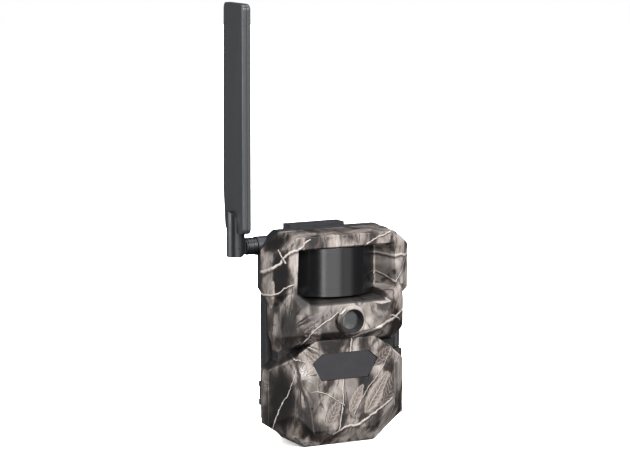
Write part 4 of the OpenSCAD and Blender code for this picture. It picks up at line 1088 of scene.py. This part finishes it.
join_cut(front, [
    plate(CAVITY, 16.8, PAST + 1), skin(both(CHIN_INSIDE)), skin(both(COVER_INSIDE)),
    box((-60, PARTING, -2), (60, 30, 145)),
], "DIFFERENCE")
join_cut(front, [
    *(rod(x, z, PANEL_BOSS_R, 10, 22.4) for x, z in PANEL_SCREWS),
    *(rod(x, z, BOARD_BOSS_R, 4.4, 17) for x, z in BOARD_SCREWS),
    rod(0, LENS_Z, LENS_TUBE_R, -5, 8),
    *(upright(HINGE_X, HINGE_DEPTH, z, EAR_R, EAR_MM) for z, web_x in EARS),
    *(box((web_x, 17.5, z - EAR_MM / 2), (HINGE_X, PARTING, z + EAR_MM / 2)) for z, web_x in EARS),
], "UNION")
join_cut(front, [
    between(RECESS_MOUTH, -3.4, RECESS, 2.2), between(RECESS, 2.0, RECESS_FLOOR, 16.2),
    box((-28, 0, 100.4), (28, 25, 129.8)),
    rod(0, LENS_Z, LENS_BORE_R, -8, 20), rod(0, LENS_Z, LENS_TUBE_R, -12, -2.6),
    plate(IR_THROUGH, -2, 12), plate(IR_OUTLINE, -2, 4.4),
    *(rod(x, z, SCREW_HOLE_R, 15, 24) for x, z in PANEL_SCREWS),
    *(rod(x, z, SCREW_HOLE_R, 11, 18) for x, z in BOARD_SCREWS),
    *(upright(HINGE_X, HINGE_DEPTH, z, PIN_HOLE_R, EAR_MM + 2) for z, web_x in EARS),
    upright(HINGE_X, HINGE_DEPTH, KNUCKLE_Z, KNUCKLE_ROOM_R, KNUCKLE_MM),
    rod(*MICROPHONE_HOLE, -2, 12),
], "DIFFERENCE")
finish_piece(front, "front_half", "camo_plastic", "front_housing", smooth=9)
print("housing has", len(front.data.polygons), "faces")

# %% [markdown]
# ## Parts that only need rounded edges
# Many parts already have their final shape in the engineering model. A copy is merged, its flat
# faces are joined up again, and its sharp edges are rounded by the radius such a part really has.


# %% Refined copies
def refined(node, slot_name, width):
    """A copy of a CAD node with rounded edges and a finish."""
    source = frame["nodes"][node]
    bm = bmesh.new()
    bm.from_mesh(source.data)
    bmesh.ops.remove_doubles(bm, verts=bm.verts, dist=1e-6)
    bmesh.ops.dissolve_limit(bm, angle_limit=math.radians(0.6), verts=bm.verts, edges=bm.edges)
    round_edges(bm, width, angle=28)
    return finish_piece(piece(node + "_finished", bm), source["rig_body"], slot_name, node)


REFINED = {
    # node: slot, edge radius in mm
    "pir_window": ("window_plastic", 0.25), "ir_window": ("infrared_plastic", 0.3),
    "lens_barrel": ("black_plastic", 0.2), "filter_carrier": ("black_plastic", 0.2),
    "ir_cut_filter": ("filter_glass", 0.1), "image_sensor": ("chip", 0.08),
    "sensor_board": ("circuit_board", 0.06), "pir_sensor": ("steel", 0.25),
    "pir_board": ("circuit_board", 0.08), "lamp_board": ("circuit_board", 0.08),
    "ir_lamps": ("lamp_resin", 0.0), "main_board": ("circuit_board", 0.08),
    "board_components": ("chip", 0.1), "microphone": ("steel", 0.2),
    "inner_panel": ("black_plastic", 0.25), "lcd_screen": ("screen", 0.2),
    "menu_button": ("key_plastic", 0.4), "ok_button": ("ok_plastic", 0.4),
    "up_button": ("key_plastic", 0.4), "down_button": ("key_plastic", 0.4),
    "left_button": ("key_plastic", 0.4), "right_button": ("key_plastic", 0.4),
    "mode_switch_body": ("black_plastic", 0.15), "mode_switch": ("switch_plastic", 0.2),
    "card_slot": ("steel", 0.15), "memory_card": ("chip", 0.12),
    "sim_slot": ("steel", 0.15), "sim_card": ("switch_plastic", 0.1),
    "contact_pads": ("brass", 0.08), "panel_screws": ("steel", 0.1),
    "board_screws": ("steel", 0.1), "rear_case": ("shell_plastic", 0.4),
    "case_gasket": ("rubber", 0.15), "tripod_insert": ("brass", 0.2),
    "battery_tray": ("black_plastic", 0.2), "battery_terminals": ("steel", 0.08),
    "aa_cells": ("cell_jacket", 0.3), "tray_screws": ("steel", 0.1),
    "contact_block": ("black_plastic", 0.15), "contact_pins": ("brass", 0.2),
    "modem_board": ("circuit_board", 0.08), "modem_shield": ("steel", 0.2),
    "antenna_jack": ("brass", 0.15), "jack_nut": ("steel", 0.25), "coax_lead": ("rubber", 0.0),
    "dc_jack": ("black_plastic", 0.15), "port_plug": ("rubber", 0.25),
    "latch_lever": ("black_plastic", 0.3), "latch_pin": ("steel", 0.12),
    "hinge_pin": ("steel", 0.2), "antenna_nut": ("black_plastic", 0.18),
    "antenna_neck": ("black_plastic", 0.15), "antenna_knuckle": ("black_plastic", 0.5),
    "antenna_radiator": ("circuit_board", 0.08),
    "lens_cover_glass": ("lens_glass", 0.2), "front_lens_element": ("lens_glass", 0.0),
}
for node_name, (slot_name, edge_mm) in REFINED.items():
    refined(node_name, slot_name, edge_mm)
print("refined copies:", len(REFINED))

# %% [markdown]
# ## Lens bezel
# The bezel is a cone-shaped ring in the same print, with rounded lips. Inside it sits a black
# stepped baffle that keeps stray light off the glass. Both are turned from their sections, given
# as (radius, depth), so their steps stay truly round.

# %% Turn the bezel
BEZEL = [
    (7.2, -2.6), (8.55, -2.6), (8.55, -6.4), (10.0, -6.4), (10.3, -6.55), (10.4, -6.8),
    (10.2, -7.5), (9.8, -8.2), (9.2, -8.9), (8.7, -9.25), (8.2, -9.4), (8.0, -9.35),
    (7.85, -9.15), (7.75, -8.8), (7.5, -7.4), (7.3, -4.7), (7.2, -4.6)]
BAFFLE = [
    (7.8, -8.9), (7.55, -8.95), (7.4, -8.75), (7.25, -8.0), (6.95, -7.9), (6.85, -7.1),
    (6.55, -7.0), (6.45, -6.2), (6.2, -6.1), (6.1, -5.0), (5.8, -4.85), (5.8, -4.5),
    (7.2, -4.45)]
bezel = piece("lens_bezel_ring", turned(BEZEL, 0, LENS_Z))
finish_piece(bezel, "front_half", "camo_plastic", "lens_bezel", smooth=40)
baffle = piece("lens_baffle_ring", turned(BAFFLE, 0, LENS_Z))
finish_piece(baffle, "front_half", "rubber", smooth=25)
print("bezel faces:", len(bezel.data.polygons))

# %% [markdown]
# ## Antenna blade
# The blade is two thin shells glued edge to edge. The outer edge of each shell is generously
# rounded and the glued edge slightly, which leaves the fine groove down the middle. Two shallow
# facets on the outer face meet it in faint creases.

# %% Blade shells
BLADE_X = -61.0
BLADE_T = 6.0
BLADE_W = 31.0
BLADE_L = 148.0
BLADE_LOW = 140.9
AXIS_Y = 1.5
CORNER_MM = 4.0
OUTER_EDGE_MM, SEAM_EDGE_MM = 1.1, 0.35
FACETS = [
    # crease from and to as (y, z), tilt of the facet behind it in degrees
    (((10.6, 174.6), (-6.0, 257.0)), -2.6), (((11.0, 169.0), (-5.3, 150.0)), 4.0),
]


def blade_shell(name, outer_x, seam_x, node):
    """One shell of the blade, from its outer face to the glued seam."""
    bm = bmesh.new()
    low, high = BLADE_LOW, BLADE_LOW + BLADE_L
    left, right_side = AXIS_Y - BLADE_W / 2, AXIS_Y + BLADE_W / 2
    face = bm.faces.new([bm.verts.new(Vector((outer_x, y, z)) * MM) for y, z in (
        (left, low), (right_side, low), (right_side, high), (left, high))])
    bevel(bm, list(bm.verts), CORNER_MM, 8, "VERTICES")
    face = bm.faces[:][0]
    swept = bmesh.ops.extrude_face_region(bm, geom=[face])["geom"]
    bmesh.ops.translate(bm, vec=((seam_x - outer_x) * MM, 0, 0), verts=vertices_in(swept))
    bmesh.ops.recalc_face_normals(bm, faces=bm.faces)
    for plane_x, width in ((outer_x, OUTER_EDGE_MM), (seam_x, SEAM_EDGE_MM)):
        rim = [e for e in bm.edges
               if all(abs(v.co.x - plane_x * MM) < 1e-6 for v in e.verts)]
        bevel(bm, rim, width, 4)
    for along, tilt in FACETS if outer_x < seam_x else []:
        (y0, z0), (y1, z1) = along
        run = Vector((0, y1 - y0, z1 - z0)).normalized()
        out = Matrix.Rotation(math.radians(tilt), 3, run) @ Vector((-1, 0, 0))
        cut = bmesh.ops.bisect_plane(
            bm, geom=bm.verts[:] + bm.edges[:] + bm.faces[:], dist=1e-7, clear_outer=True,
            plane_co=Vector((outer_x, y0, z0)) * MM, plane_no=out)
        bmesh.ops.holes_fill(bm, edges=[
            e for e in cut["geom_cut"] if isinstance(e, bmesh.types.BMEdge)], sides=0)
        bmesh.ops.recalc_face_normals(bm, faces=bm.faces)
    return finish_piece(piece(name, bm), "blade", "antenna_plastic", node, smooth=4)


blade_shell("blade_outer_shell", BLADE_X - BLADE_T / 2, BLADE_X, "blade_outer_half")
blade_shell("blade_inner_shell", BLADE_X + BLADE_T / 2, BLADE_X, "blade_inner_half")
print("blade is", BLADE_L, "mm long")
